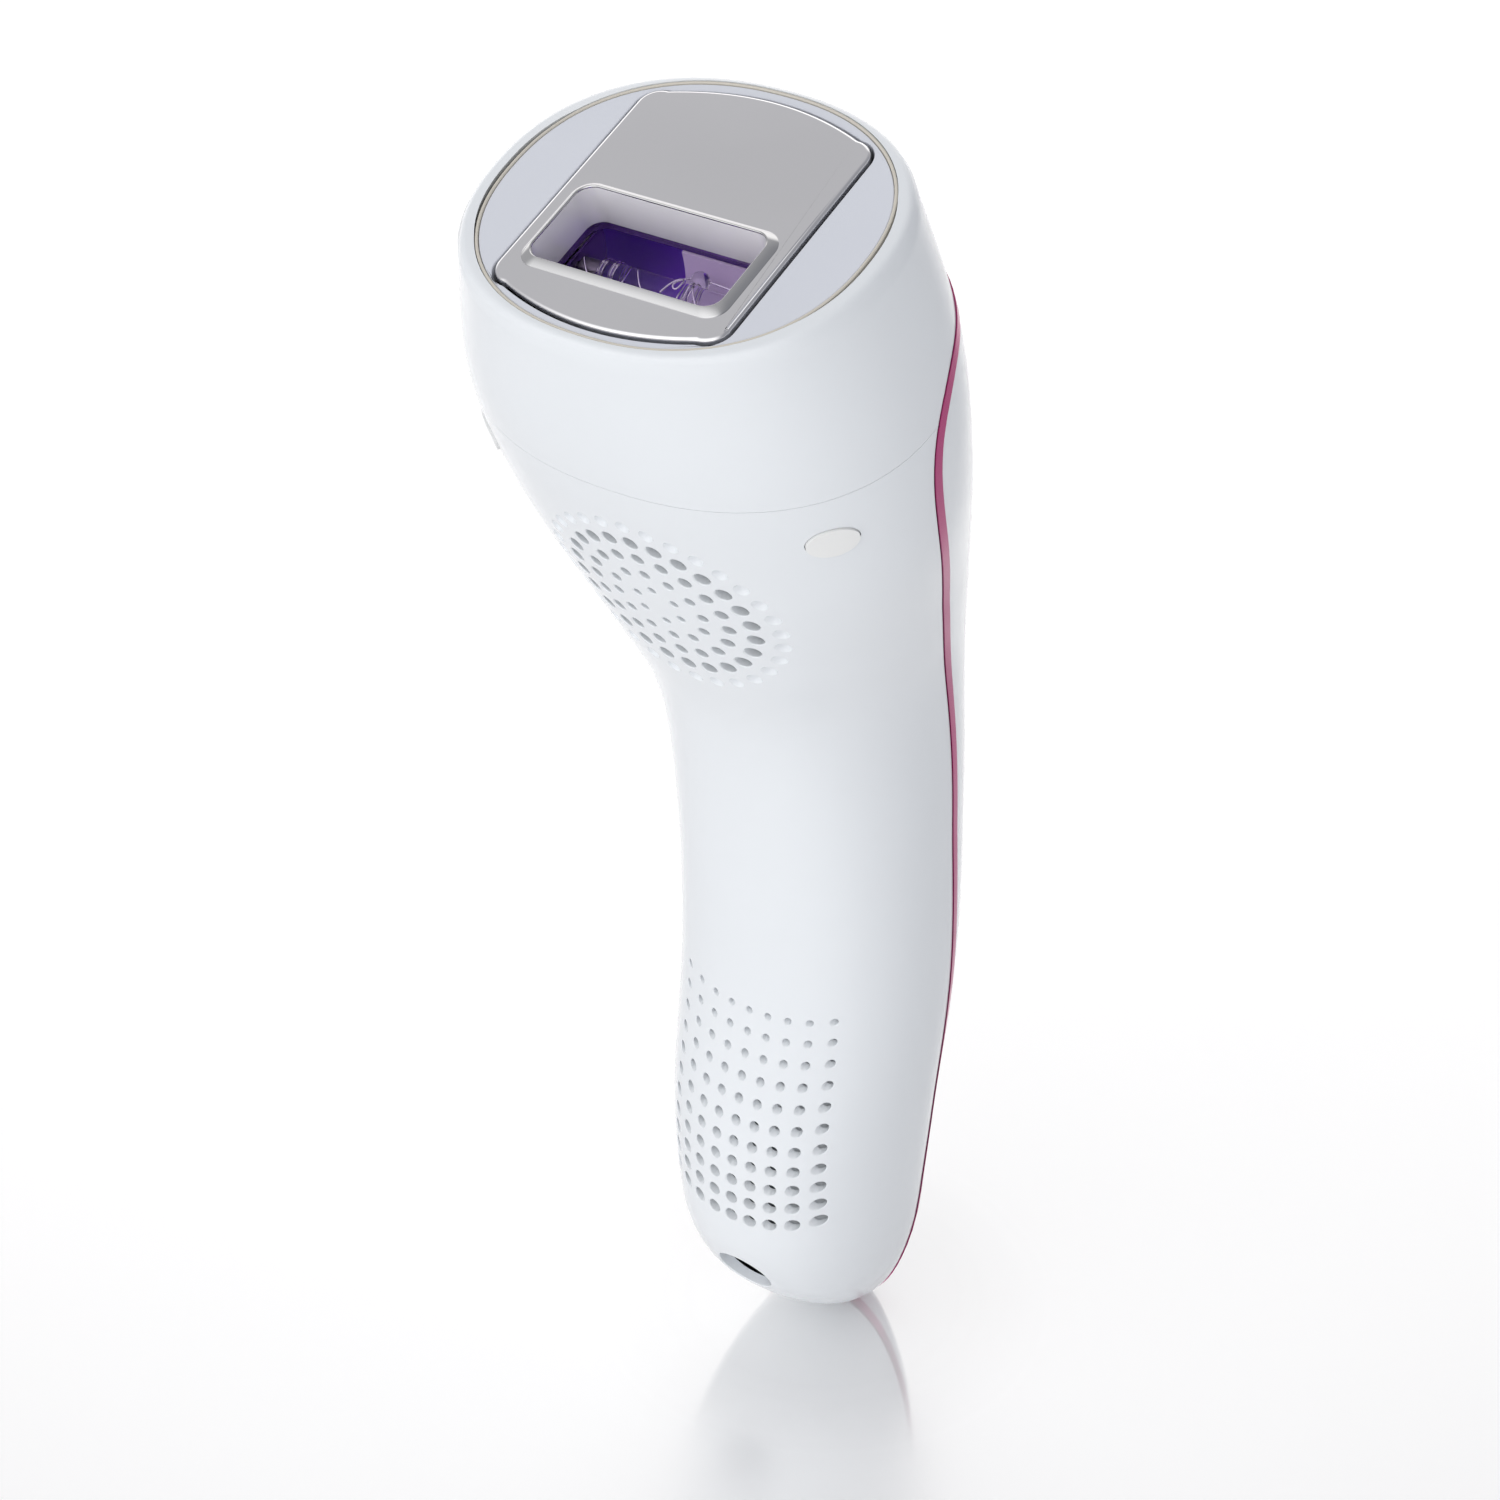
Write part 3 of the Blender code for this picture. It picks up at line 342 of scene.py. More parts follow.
# noise scales of the colour drift, the uneven gloss and the grain
PLASTIC_SCALES = (18.0, 60.0, 900.0)
METAL_SCALES = (30.0, 120.0, 700.0)
GLASS_GLOSS_SCALE = 90.0
GLASS_WAVE_SCALE = 60.0
# depth of the grain in metres
FINE_GRAIN = 0.00001
MEDIUM_GRAIN = 0.00002
COARSE_GRAIN = 0.00003
METAL_GRAIN = 0.000004
PAD_SCALE = 420.0
PAD_EDGE = (0.20, 0.24)
GRAIN_DETAIL = 2.0
PLASTIC_BUMP = 0.25
METAL_BUMP = 0.15
GLASS_BUMP = 0.1
GLASS_SPREAD = 0.02
COAT_ROUGHNESS = 0.06
# depth under the skin (mm) from which the front housing's faces get dark painted shade, standing in for the
# shade deep in its holes and gaps
INSIDE_DEPTH = 1.4


def new_material(name):
    material = bpy.data.materials.new(name)
    material.use_nodes = True
    tree = material.node_tree
    return material, tree, tree.nodes["Principled BSDF"]


def noise(tree, scale, detail=3.0):
    source = tree.nodes.new("ShaderNodeTexCoord")
    node = tree.nodes.new("ShaderNodeTexNoise")
    node.inputs["Scale"].default_value = scale
    node.inputs["Detail"].default_value = detail
    tree.links.new(source.outputs["Object"], node.inputs["Vector"])
    return node.outputs["Fac"]


def ramp(tree, value, low, high, start=0.35, end=0.65, easing="LINEAR"):
    """Spreads a value between two colours, or two greys given as numbers."""
    node = tree.nodes.new("ShaderNodeValToRGB")
    node.color_ramp.interpolation = easing
    elements = node.color_ramp.elements
    for element, place, colour in ((elements[0], start, low), (elements[1], end, high)):
        element.position = place
        element.color = (*colour, 1.0) if isinstance(colour, tuple) else (colour, colour, colour, 1.0)
    tree.links.new(value, node.inputs["Fac"])
    return node.outputs["Color"]


def bump(tree, shader, height, strength, distance):
    node = tree.nodes.new("ShaderNodeBump")
    node.inputs["Strength"].default_value = strength
    node.inputs["Distance"].default_value = distance
    tree.links.new(height, node.inputs["Height"])
    tree.links.new(node.outputs["Normal"], shader.inputs["Normal"])


def surface(name, colours, rough, scales, strength, grain):
    """An opaque surface with a faint colour drift, uneven gloss and a fine grain."""
    drift, gloss, fine = scales
    material, tree, shader = new_material(name)
    tree.links.new(ramp(tree, noise(tree, drift), *colours), shader.inputs["Base Color"])
    tree.links.new(ramp(tree, noise(tree, gloss), *rough), shader.inputs["Roughness"])
    bump(tree, shader, noise(tree, fine, GRAIN_DETAIL), strength, grain)
    return material, shader


def plastic(name, low, high, rough, grain=FINE_GRAIN, coat=0.0):
    material, shader = surface(name, (low, high), rough, PLASTIC_SCALES, PLASTIC_BUMP, grain)
    shader.inputs["Coat Weight"].default_value = coat
    shader.inputs["Coat Roughness"].default_value = COAT_ROUGHNESS
    return material


def metal(name, low, high, rough):
    material, shader = surface(name, (low, high), rough, METAL_SCALES, METAL_BUMP, METAL_GRAIN)
    shader.inputs["Metallic"].default_value = 1.0
    return material


def glass(name, colour, roughness, index):
    material, tree, shader = new_material(name)
    shader.inputs["Base Color"].default_value = (*colour, 1.0)
    shader.inputs["Transmission Weight"].default_value = 1.0
    shader.inputs["IOR"].default_value = index
    gloss = ramp(tree, noise(tree, GLASS_GLOSS_SCALE), roughness, roughness + GLASS_SPREAD)
    tree.links.new(gloss, shader.inputs["Roughness"])
    bump(tree, shader, noise(tree, GLASS_WAVE_SCALE, 1.0), GLASS_BUMP, FINE_GRAIN)
    return material


WHITE = plastic("white_gloss", (0.835, 0.865, 0.895), (0.85, 0.88, 0.91), (0.14, 0.2), coat=0.4)
PANEL = plastic("panel_grey", (0.725, 0.75, 0.815), (0.745, 0.77, 0.835), (0.16, 0.22), coat=0.2)
IVORY = plastic("ivory", (0.66, 0.62, 0.54), (0.70, 0.66, 0.58), (0.3, 0.4))
BUTTON = plastic("button_cream", (0.88, 0.885, 0.875), (0.90, 0.905, 0.895), (0.3, 0.4))
WELL = plastic("window_white", (0.87, 0.86, 0.89), (0.90, 0.89, 0.92), (0.16, 0.22), coat=0.3)
BLACK = plastic("black_plastic", (0.018, 0.018, 0.02), (0.03, 0.03, 0.034), (0.35, 0.5), MEDIUM_GRAIN)
SHADOW = plastic("dark_grey", (0.09, 0.09, 0.10), (0.12, 0.12, 0.13), (0.4, 0.5), MEDIUM_GRAIN)
CERAMIC = plastic("ceramic", (0.74, 0.73, 0.70), (0.80, 0.79, 0.76), (0.5, 0.65), COARSE_GRAIN)
SMOKE = plastic("smoke_lens", (0.30, 0.32, 0.36), (0.36, 0.38, 0.42), (0.1, 0.16), coat=0.5)
MAGENTA = metal("magenta_metal", (0.42, 0.055, 0.18), (0.48, 0.07, 0.21), (0.18, 0.24))
STEEL = metal("polished_steel", (0.78, 0.775, 0.79), (0.80, 0.795, 0.81), (0.03, 0.05))
BEZEL = metal("bezel_steel", (0.55, 0.55, 0.555), (0.57, 0.57, 0.575), (0.05, 0.08))
TUNGSTEN = metal("tungsten", (0.16, 0.15, 0.17), (0.22, 0.21, 0.23), (0.3, 0.4))
SILVER = metal("trigger_silver", (0.80, 0.80, 0.82), (0.88, 0.88, 0.90), (0.08, 0.16))
TROUGH = metal("reflector_violet", (0.50, 0.24, 1.0), (0.56, 0.29, 1.0), (0.3, 0.38))
GASKET = plastic("gasket_violet", (0.07, 0.03, 0.16), (0.10, 0.05, 0.22), (0.3, 0.4))
SLEEVE = plastic("sleeve_pale", (0.90, 0.82, 0.96), (0.94, 0.86, 1.0), (0.25, 0.35))
# dark grey painted shade for the inside of the front housing and the deep walls of its holes and gaps
PAINTED_INSIDE_SHADE = plastic("painted_inside_shade", (0.13, 0.14, 0.16), (0.16, 0.17, 0.19), (0.4, 0.5))
INLET = plastic("inlet_grey", (0.76, 0.80, 0.86), (0.80, 0.84, 0.90), (0.3, 0.4))
BRASS = metal("brass", (0.66, 0.45, 0.18), (0.74, 0.53, 0.24), (0.2, 0.3))
FILTER = glass("violet_filter", (0.93, 0.85, 0.99), 0.0, 1.12)
QUARTZ = glass("quartz", (0.97, 0.97, 0.99), 0.01, 1.3)
BULB = glass("bulb_quartz", (0.95, 0.95, 0.98), 0.0, 1.6)


def board_material():
    """Green solder mask with rows of tinned pads."""
    material, tree, shader = new_material("board_green")
    coordinates = tree.nodes.new("ShaderNodeTexCoord")
    cells = tree.nodes.new("ShaderNodeTexVoronoi")
    cells.inputs["Scale"].default_value = PAD_SCALE
    cells.inputs["Randomness"].default_value = 0.2
    tree.links.new(coordinates.outputs["Object"], cells.inputs["Vector"])
    pads = ramp(tree, cells.outputs["Distance"], (0.62, 0.60, 0.52), (0.02, 0.15, 0.06), *PAD_EDGE)
    tree.links.new(pads, shader.inputs["Base Color"])
    shader.inputs["Roughness"].default_value = 0.4
    return material


BOARD = board_material()


def paint_inside_shade(obj, material):
    """Gives the faces that lie wholly deep under the body's skin a second material: dark painted shade for
    the inside of the housing and the deep walls of its holes and gaps.
    """
    mesh = obj.data
    mesh.materials.append(material)
    deep = [reference[0].find_nearest(vertex.co)[3] > INSIDE_DEPTH * MM for vertex in mesh.vertices]
    for polygon in mesh.polygons:
        if all(deep[i] for i in polygon.vertices):
            polygon.material_index = 1


def show(obj, body, material, slot, *nodes):
    """Dresses a finished piece and lets it ride on a body in place of its CAD nodes."""
    obj.data.materials.clear()
    obj.data.materials.append(material)
    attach(obj, body)
    if nodes:
        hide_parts(*nodes)


def dress(material, *nodes):
    """Gives carried-over CAD nodes a material."""
    for name in nodes:
        mesh = frame["nodes"][name].data
        mesh.materials.clear()
        mesh.materials.append(material)
        shade(frame["nodes"][name], 30.0)


# ---------------------------------------------------------------- camera, light and floor

SENSOR = 36.0
FOCAL_SHARE = 3326.0 / 1500.0
CAMERA_AT = Vector((234.5, -342.0, 392.6))
CAMERA_AZIMUTH = 34.5
CAMERA_ELEVATION = 33.0

# lights are given by azimuth and elevation, and fade in between two dot products with that direction
CEILING_COLOUR = (0.58, 0.58, 0.595)
WHITE_LIGHT = (1.0, 1.0, 1.0)
NO_LIGHT = (0.0, 0.0, 0.0)
BACK_LIGHT = (214.5, 8.0)
BACK_EDGE = (0.66, 0.86)
BACK_COLOUR = (0.96, 0.94, 0.91)
FRONT_LIGHT = (4.0, 4.0)
FRONT_EDGE = (0.3, 0.95)
FRONT_COLOUR = (0.98, 0.98, 0.97)
SIDE_FLAG = (112.0, 8.0)
SIDE_EDGE = (0.2, 0.85)
SIDE_COLOUR = (0.62, 0.63, 0.66)

FLOOR_SIZE = 3000.0
FLOOR_SCALE = 4.0
FLOOR_WHITE = ((0.96, 0.96, 0.96), (0.97, 0.97, 0.97))
# roughness of the gloss and its share, near the foot and further out
FLOOR_NEAR = (0.05, 0.3)
FLOOR_FAR = (0.3, 0.36)
FLOOR_FOOT = 21.4
FLOOR_FADE = (22.0, 44.0)
FLOOR_GLOW = 0.07


def direction(azimuth, elevation):
    """Unit vector from the object towards a place round it."""
    a, e = math.radians(azimuth), math.radians(elevation)
    return Vector((math.sin(a) * math.cos(e), -math.cos(a) * math.cos(e), math.sin(e)))


def make_camera():
    data = bpy.data.cameras.new("camera")
    data.sensor_width = SENSOR
    data.lens = SENSOR * FOCAL_SHARE
    data.clip_start = 0.01
    data.clip_end = 20.0
    camera = bpy.data.objects.new("camera", data)
    camera.location = CAMERA_AT * MM
    towards = -direction(CAMERA_AZIMUTH, CAMERA_ELEVATION)
    camera.rotation_euler = towards.to_track_quat("-Z", "Y").to_euler()
    bpy.context.scene.collection.objects.link(camera)
    bpy.context.scene.camera = camera


def lit_towards(tree, place, edge, colour, away=NO_LIGHT):
    """A soft patch of one colour round a direction in the sky, and another colour away from it."""
    coordinates = tree.nodes.new("ShaderNodeTexCoord")
    facing = tree.nodes.new("ShaderNodeVectorMath")
    facing.operation = "DOT_PRODUCT"
    facing.inputs[1].default_value = direction(*place)
    tree.links.new(coordinates.outputs["Generated"], facing.inputs[0])
    return ramp(tree, facing.outputs["Value"], away, colour, *edge, "EASE")


def blended(tree, first, second, blend_type="ADD"):
    """Adds or multiplies two colours, of which the second may be a fixed one."""
    node = tree.nodes.new("ShaderNodeMixRGB")
    node.blend_type = blend_type
    node.inputs["Fac"].default_value = 1.0
    tree.links.new(first, node.inputs["Color1"])
    if isinstance(second, tuple):
        node.inputs["Color2"].default_value = (*second, 1.0)
    else:
        tree.links.new(second, node.inputs["Color2"])
    return node.outputs["Color"]


def make_world():
    """A white studio: a plain ceiling, a bright wall behind, a softer front light and a darker side."""
    world = bpy.data.worlds.new("studio")
    world.use_nodes = True
    tree = world.node_tree
    background = tree.nodes["Background"]
    behind = lit_towards(tree, BACK_LIGHT, BACK_EDGE, BACK_COLOUR)
    front = lit_towards(tree, FRONT_LIGHT, FRONT_EDGE, FRONT_COLOUR)
    lights = blended(tree, blended(tree, behind, front), CEILING_COLOUR)
    flag = lit_towards(tree, SIDE_FLAG, SIDE_EDGE, SIDE_COLOUR, WHITE_LIGHT)
    tree.links.new(blended(tree, lights, flag, "MULTIPLY"), background.inputs["Color"])
    background.inputs["Strength"].default_value = 1.0
    bpy.context.scene.world = world


def floor_zone(tree, diffuse, roughness, share):
    """The diffuse floor with a share of gloss over it."""
    gloss = tree.nodes.new("ShaderNodeBsdfAnisotropic")
    gloss.inputs["Color"].default_value = (1.0, 1.0, 1.0, 1.0)
    gloss.inputs["Roughness"].default_value = roughness
    zone = tree.nodes.new("ShaderNodeMixShader")
    zone.inputs["Fac"].default_value = share
    tree.links.new(diffuse, zone.inputs[1])
    tree.links.new(gloss.outputs["BSDF"], zone.inputs[2])
    return zone.outputs["Shader"]


def away_from_foot(tree):
    """0 near the place where the object stands, 1 further out."""
    source = tree.nodes.new("ShaderNodeTexCoord")
    distance = tree.nodes.new("ShaderNodeVectorMath")
    distance.operation = "DISTANCE"
    distance.inputs[1].default_value = (0.0, FLOOR_FOOT * MM, 0.0)
    tree.links.new(source.outputs["Object"], distance.inputs[0])
    start, end = FLOOR_FADE[0] * MM, FLOOR_FADE[1] * MM
    return ramp(tree, distance.outputs["Value"], 0.0, 1.0, start, end, "EASE")


def make_floor():
    """Pale floor: a clear mirror gloss near the object's foot turns into a blurred one further out."""
    bm = bmesh.new()
    bmesh.ops.create_grid(bm, x_segments=1, y_segments=1, size=FLOOR_SIZE)
    floor = piece("floor", bm)
    material, tree, shader = new_material("floor_white")
    tree.nodes.remove(shader)
    diffuse = tree.nodes.new("ShaderNodeBsdfDiffuse")
    tree.links.new(ramp(tree, noise(tree, FLOOR_SCALE), *FLOOR_WHITE), diffuse.inputs["Color"])
    near = floor_zone(tree, diffuse.outputs["BSDF"], *FLOOR_NEAR)
    far = floor_zone(tree, diffuse.outputs["BSDF"], *FLOOR_FAR)
    glow = tree.nodes.new("ShaderNodeEmission")
    glow.inputs["Strength"].default_value = FLOOR_GLOW
    outer = tree.nodes.new("ShaderNodeAddShader")
    tree.links.new(far, outer.inputs[0])
    tree.links.new(glow.outputs["Emission"], outer.inputs[1])
    mixed = tree.nodes.new("ShaderNodeMixShader")
    tree.links.new(away_from_foot(tree), mixed.inputs["Fac"])
    tree.links.new(near, mixed.inputs[1])
    tree.links.new(outer.outputs["Shader"], mixed.inputs[2])
    tree.links.new(mixed.outputs["Shader"], tree.nodes["Material Output"].inputs["Surface"])
    floor.data.materials.append(material)


scene = bpy.context.scene
scene.view_settings.view_transform = "Standard"
scene.view_settings.look = "None"
make_camera()
make_world()
make_floor()

# ---------------------------------------------------------------- shared cutters

# sizes well past the body for cutters that run right through or across it
SIDE_REACH = 60.0
BACK_REACH = 90.0
SLAB_WIDTH = 160.0
ABOVE_ALL = 60.0
BELOW_ALL = -300.0

CORNER_STEPS = 12
# start angle and signs of x and y of the four rounded corners of an outline, in order
CORNERS = ((0.0, 1, 1), (90.0, -1, 1), (180.0, -1, -1), (270.0, 1, -1))

reference = reference_tree(body_form(rim=RIM_RADIUS))
cavity = cutter(body_form(WALL, top=CAVITY_TOP))


def side_slab(outline):
    """A cutter whose outline is drawn in side view (depth, height) and runs right across X."""
    bm = bmesh.new()
    skin_rings(bm, [[(x, y, z) for y, z in outline] for x in (-SIDE_REACH, SIDE_REACH)])
    return cutter(bm)


def trim_line(shift):
    """The trim's route in side view, moved sideways: a positive shift goes to the back."""
    steps = (len(TRIM_ROUTE) - 1) * TRIM_STEPS
    route = [Vector(smooth_row(TRIM_ROUTE, i / TRIM_STEPS)) for i in range(steps + 1)]
    points = []
    for i, point in enumerate(route):
        ahead = route[min(i + 1, steps)] - route[max(i - 1, 0)]
        side = Vector((ahead.y, -ahead.x)).normalized()
        points.append(tuple(point + side * shift))
    return points


def behind_trim(shift):
    line = trim_line(shift)
    return side_slab(line + [(BACK_REACH, line[-1][1]), (BACK_REACH, line[0][1])])


def box(size, centre):
    bm = bmesh.new()
    bmesh.ops.create_cube(bm, size=1.0)
    bmesh.ops.scale(bm, vec=size, verts=bm.verts)
    bmesh.ops.translate(bm, vec=centre, verts=bm.verts)
    return bm


def face_slab(low, high):
    return cutter(box((SLAB_WIDTH, SLAB_WIDTH, high - low), (0.0, 0.0, (low + high) / 2.0)), FACE)


front_of_rear = behind_trim(-(TRIM_WIDTH / 2.0 + TRIM_GAP))
back_of_trim = behind_trim(TRIM_WIDTH / 2.0 + TRIM_GAP)
above_seam = face_slab(-SEAM_DROP - SEAM_GAP / 2.0, ABOVE_ALL)
below_seam = face_slab(BELOW_ALL, -SEAM_DROP + SEAM_GAP / 2.0)


def prism(outline, low, high):
    bm = bmesh.new()
    skin_rings(bm, [[(x, y, z) for x, y in outline] for z in (low, high)])
    return bm


def rounded_corner(x, y, radius, start):
    """A quarter circle round a centre, from a start angle."""
    angles = [math.radians(start + 90.0 * i / CORNER_STEPS) for i in range(CORNER_STEPS + 1)]
    return [(x + radius * math.cos(angle), y + radius * math.sin(angle)) for angle in angles]


def rounded_rectangle(half_x, half_y, radius, centre):
    points = []
    for start, sx, sy in CORNERS:
        x, y = centre[0] + sx * (half_x - radius), centre[1] + sy * (half_y - radius)
        points += rounded_corner(x, y, radius, start)
    return points


def ellipse(half_x, half_y, count=48, centre=(0.0, 0.0)):
    angles = [math.tau * i / count for i in range(count)]
    return [(centre[0] + half_x * math.cos(a), centre[1] + half_y * math.sin(a)) for a in angles]


def band(outline, profile):
    """A closed ring from (inset, height) pairs round an outline, where outline(inset) gives its points."""
    bm = bmesh.new()
    loops = [[bm.verts.new((x, y, height)) for x, y in outline(inset)] for inset, height in profile]
    count = len(loops[0])
    for this, after in zip(loops, loops[1:] + loops[:1]):
        for i in range(count):
            j = (i + 1) % count
            bm.faces.new((this[i], this[j], after[j], after[i]))
    return bm


def turned(profile, matrix, count=32):
    """A turned solid from (radius, height) pairs in order along its own Z, placed by a matrix."""
    rings = [[(x, y, height) for x, y in ellipse(radius, radius, count)] for radius, height in profile]
    bm = bmesh.new()
    skin_rings(bm, rings)
    return placed(bm, matrix)


def wire(name, points, radius, matrix):
    """A round wire along points in millimetres, as a mesh."""
    curve = bpy.data.curves.new(name, "CURVE")
    curve.dimensions = "3D"
    curve.bevel_depth = radius * MM
    curve.bevel_resolution = 3
    curve.use_fill_caps = True
    spline = curve.splines.new("NURBS")
    spline.points.add(len(points) - 1)
    spline.use_endpoint_u = True
    spline.order_u = 4
    for knot, place in zip(spline.points, points):
        knot.co = (*(matrix @ Vector(place) * MM), 1.0)
    holder = bpy.data.objects.new(name, curve)
    bpy.context.scene.collection.objects.link(holder)
    depsgraph = bpy.context.evaluated_depsgraph_get()
    mesh = bpy.data.meshes.new_from_object(holder.evaluated_get(depsgraph))
    bpy.data.objects.remove(holder)
    obj = bpy.data.objects.new(name, mesh)
    bpy.context.scene.collection.objects.link(obj)
    mesh.shade_smooth()
    return obj


# ---------------------------------------------------------------- vents

# Both vents are drilled along the face frame's Y, and each hole's rim follows the skin.
GRILLE_DROP = -50.4
GRILLE_RINGS = 4
GRILLE_PITCH = 3.56
GRILLE_HOLE = (1.3, 2.4)
DIMPLE_RADIUS = 1.15
DIMPLE_DEPTH = 0.8
DIMPLE_STEPS = 5
DIMPLE_LIP = (0.2, -0.14)
GRID_TOP = -136.7
GRID_ROWS = 11
GRID_COLUMNS = 9
GRID_PITCH = 3.4
GRID_HOLE = (1.1, 2.2)
HOLE_SIDES = 20
HOLE_CHAMFER = 0.16
HOLE_LAND = 1.5
# how much wider a hole gets inside the wall, and over what depth
HOLE_RELIEF = (0.4, 0.15)
DRILL_START = 0.3
DRILL_DEPTH = 6.0
# the face frame's Y (mm) where rays to the skin start, and their length (m)
RAY_FROM = -100.0
RAY_LENGTH = 0.2


def skin_depth(x, z):
    """The face frame's Y of the body's front skin at a place in the face frame."""
    start = FACE @ Vector((x, RAY_FROM, z))
    towards = (FACE.to_3x3() @ Vector((0.0, 1.0, 0.0))).normalized()
    hit, _, _, distance = reference[0].ray_cast(start * MM, towards, RAY_LENGTH)
    return None if hit is None else RAY_FROM + distance / MM


def drilled(x, z, profile):
    """A cutter round one hole from (radius, depth below the skin) pairs, or None where the skin ends."""
    rings = []
    for radius, depth in profile:
        ring = []
        for i in range(HOLE_SIDES):
            angle = math.tau * i / HOLE_SIDES
            px, pz = x + radius * math.cos(angle), z + radius * math.sin(angle)
            skin = skin_depth(px, pz)
            if skin is None:
                return None
            ring.append((px, skin + depth, pz))
        rings.append(ring)
    bm = bmesh.new()
    skin_rings(bm, rings)
    return bm


def hole_profile(radius):
    """A chamfered drill that opens out again inside the wall."""
    wider = radius + HOLE_RELIEF[0]
    return ((radius + HOLE_CHAMFER + DRILL_START, -DRILL_START), (radius, HOLE_CHAMFER), (radius, HOLE_LAND),
            (wider, HOLE_LAND + HOLE_RELIEF[1]), (wider, DRILL_DEPTH))


def dimple_profile():
    """A shallow bowl, from a wider ring just outside the skin to its bottom."""
    points = [(DIMPLE_RADIUS + DIMPLE_LIP[0], DIMPLE_LIP[1])]
    for i in range(DIMPLE_STEPS):
        radius = DIMPLE_RADIUS * (1.0 - i / DIMPLE_STEPS)
        points.append((radius, DIMPLE_DEPTH * (1.0 - (radius / DIMPLE_RADIUS) ** 2)))
    return points


def grille_places(ring):
    for i in range(6 * ring):
        angle = math.pi / 2.0 + math.tau * i / (6 * ring)
        yield ring * GRILLE_PITCH * math.cos(angle), GRILLE_DROP + ring * GRILLE_PITCH * math.sin(angle)


def spread(limits, index, count):
    return limits[0] + (limits[1] - limits[0]) * index / (count - 1)


def vent_cutters():
    """One cutter for all the holes, and one for the shallow dimples round the grille."""
    holes, dimples = bmesh.new(), bmesh.new()
    for ring in range(1, GRILLE_RINGS + 1):
        radius = spread(GRILLE_HOLE, ring - 1, GRILLE_RINGS) / 2.0
        for x, z in grille_places(ring):
            merge(holes, drilled(x, z, hole_profile(radius)))
    for x, z in grille_places(GRILLE_RINGS + 1):
        dimple = drilled(x, z, dimple_profile())
        if dimple:
            merge(dimples, dimple)
    for row in range(GRID_ROWS):
        radius = spread(GRID_HOLE, row, GRID_ROWS) / 2.0
        for column in range(GRID_COLUMNS):
            x = (column - (GRID_COLUMNS - 1) / 2.0) * GRID_PITCH
            merge(holes, drilled(x, GRID_TOP - row * GRID_PITCH, hole_profile(radius)))
    return cutter(holes, FACE), cutter(dimples, FACE)


# ---------------------------------------------------------------- buttons and inlet places

RELEASE_AT = (28.6, -19.7, -32.5)
RELEASE_ANGLE = -48.0
RELEASE_HALF = (3.7, 2.5)
RELEASE_GAP = 0.11
# lower and upper end of the button before it is trimmed to the skin, and of the opening it sits in
RELEASE_BODY = (-5.0, 8.0)
RELEASE_DRILL = (-7.0, 7.0)
RELEASE_EDGE = 0.3
# (radius, height) of the blind hole in the button's back that takes the spring
SPRING_SOCKET = ((2.05, -6.0), (2.05, -3.3))
FLASH_HEIGHT = 126.0
FLASH_HALF = (6.5, 9.5)
LENS_HEIGHT = 110.0
LENS_HALF = (8.0, 1.6)
LEVEL_HEIGHT = 98.0
LEVEL_RADIUS = 4.6
BUTTON_BACK = 32.2
BUTTON_GAP = 0.18
BUTTON_PROUD = 0.35
BUTTON_EDGE = 0.35
LENS_EDGE = 0.15
OPENING_START = 1.2
INLET_AT = Vector((0.0, -2.3, 22.4))
INLET_ANGLE = 27.7
INLET_RADIUS = 4.9
INLET_MOUTH = INLET_RADIUS + 0.5
# (radius, height) of the recess round the inlet, from inside the wall to outside the skin
INLET_RECESS = ((INLET_RADIUS, -3.5), (INLET_RADIUS, -0.2), (INLET_MOUTH, 0.4), (INLET_MOUTH, 12.0))


def release_matrix(side):
    """Frame of a release button: its +Z points out of the handle on the given side."""
    x, y, z = RELEASE_AT
    angle = math.radians(RELEASE_ANGLE)
    outwards = Vector((side * math.cos(angle), math.sin(angle), 0.0))
    up = Vector((0.0, 0.0, 1.0))
    basis = Matrix((up.cross(outwards), up, outwards)).transposed().to_4x4()
    return FACE @ Matrix.Translation((side * x, y, z)) @ basis


def inlet_matrix():
    return Matrix.Translation(INLET_AT) @ Matrix.Rotation(math.radians(90.0 + INLET_ANGLE), 4, "X")


def back_prism(outline, near):
    """A solid drawn on the back of the handle (X, height), from a depth to well outside."""
    return placed(prism(outline, -SIDE_REACH, -near), Matrix.Rotation(math.radians(90.0), 4, "X"))


def release_outline(grow=0.0):
    return ellipse(RELEASE_HALF[0] + grow, RELEASE_HALF[1] + grow, 64)


def flash_outline(grow=0.0):
    return ellipse(FLASH_HALF[0] + grow, FLASH_HALF[1] + grow, 72, (0.0, FLASH_HEIGHT))


def level_outline(grow=0.0):
    return ellipse(LEVEL_RADIUS + grow, LEVEL_RADIUS + grow, 64, (0.0, LEVEL_HEIGHT))


def lens_outline(grow=0.0):
    half = (LENS_HALF[0] + grow, LENS_HALF[1] + grow)
    return rounded_rectangle(*half, LENS_HALF[1] + grow - 0.05, (0.0, LENS_HEIGHT))


# ---------------------------------------------------------------- shells

RIM_POCKET = (28.43, 24.83)
POCKET_FLOOR = -3.0
POCKET_TOP = 5.0


def head_shell():
    head = piece("head_shell_fine", body_form(rim=RIM_RADIUS))
    pocket = cutter(prism(squared_ellipse(*RIM_POCKET), POCKET_FLOOR, POCKET_TOP), FACE)
    cut(head, front_of_rear, below_seam, cavity, pocket)
    smooth_skin(head)
    show(head, "cartridge", WHITE, "white_gloss", "head_shell")


def rear_cover():
    rear = piece("rear_cover_fine", body_form(rim=RIM_RADIUS))
    openings = bmesh.new()
    for outline in (flash_outline(BUTTON_GAP), level_outline(BUTTON_GAP), lens_outline(BUTTON_GAP)):
        merge(openings, back_prism(outline, BUTTON_BACK - OPENING_START))
    combine(rear, ("INTERSECT", back_of_trim), ("DIFFERENCE", cavity), ("DIFFERENCE", cutter(openings)))
    smooth_skin(rear)
    show(rear, "handle", WHITE, "white_gloss", "rear_cover")


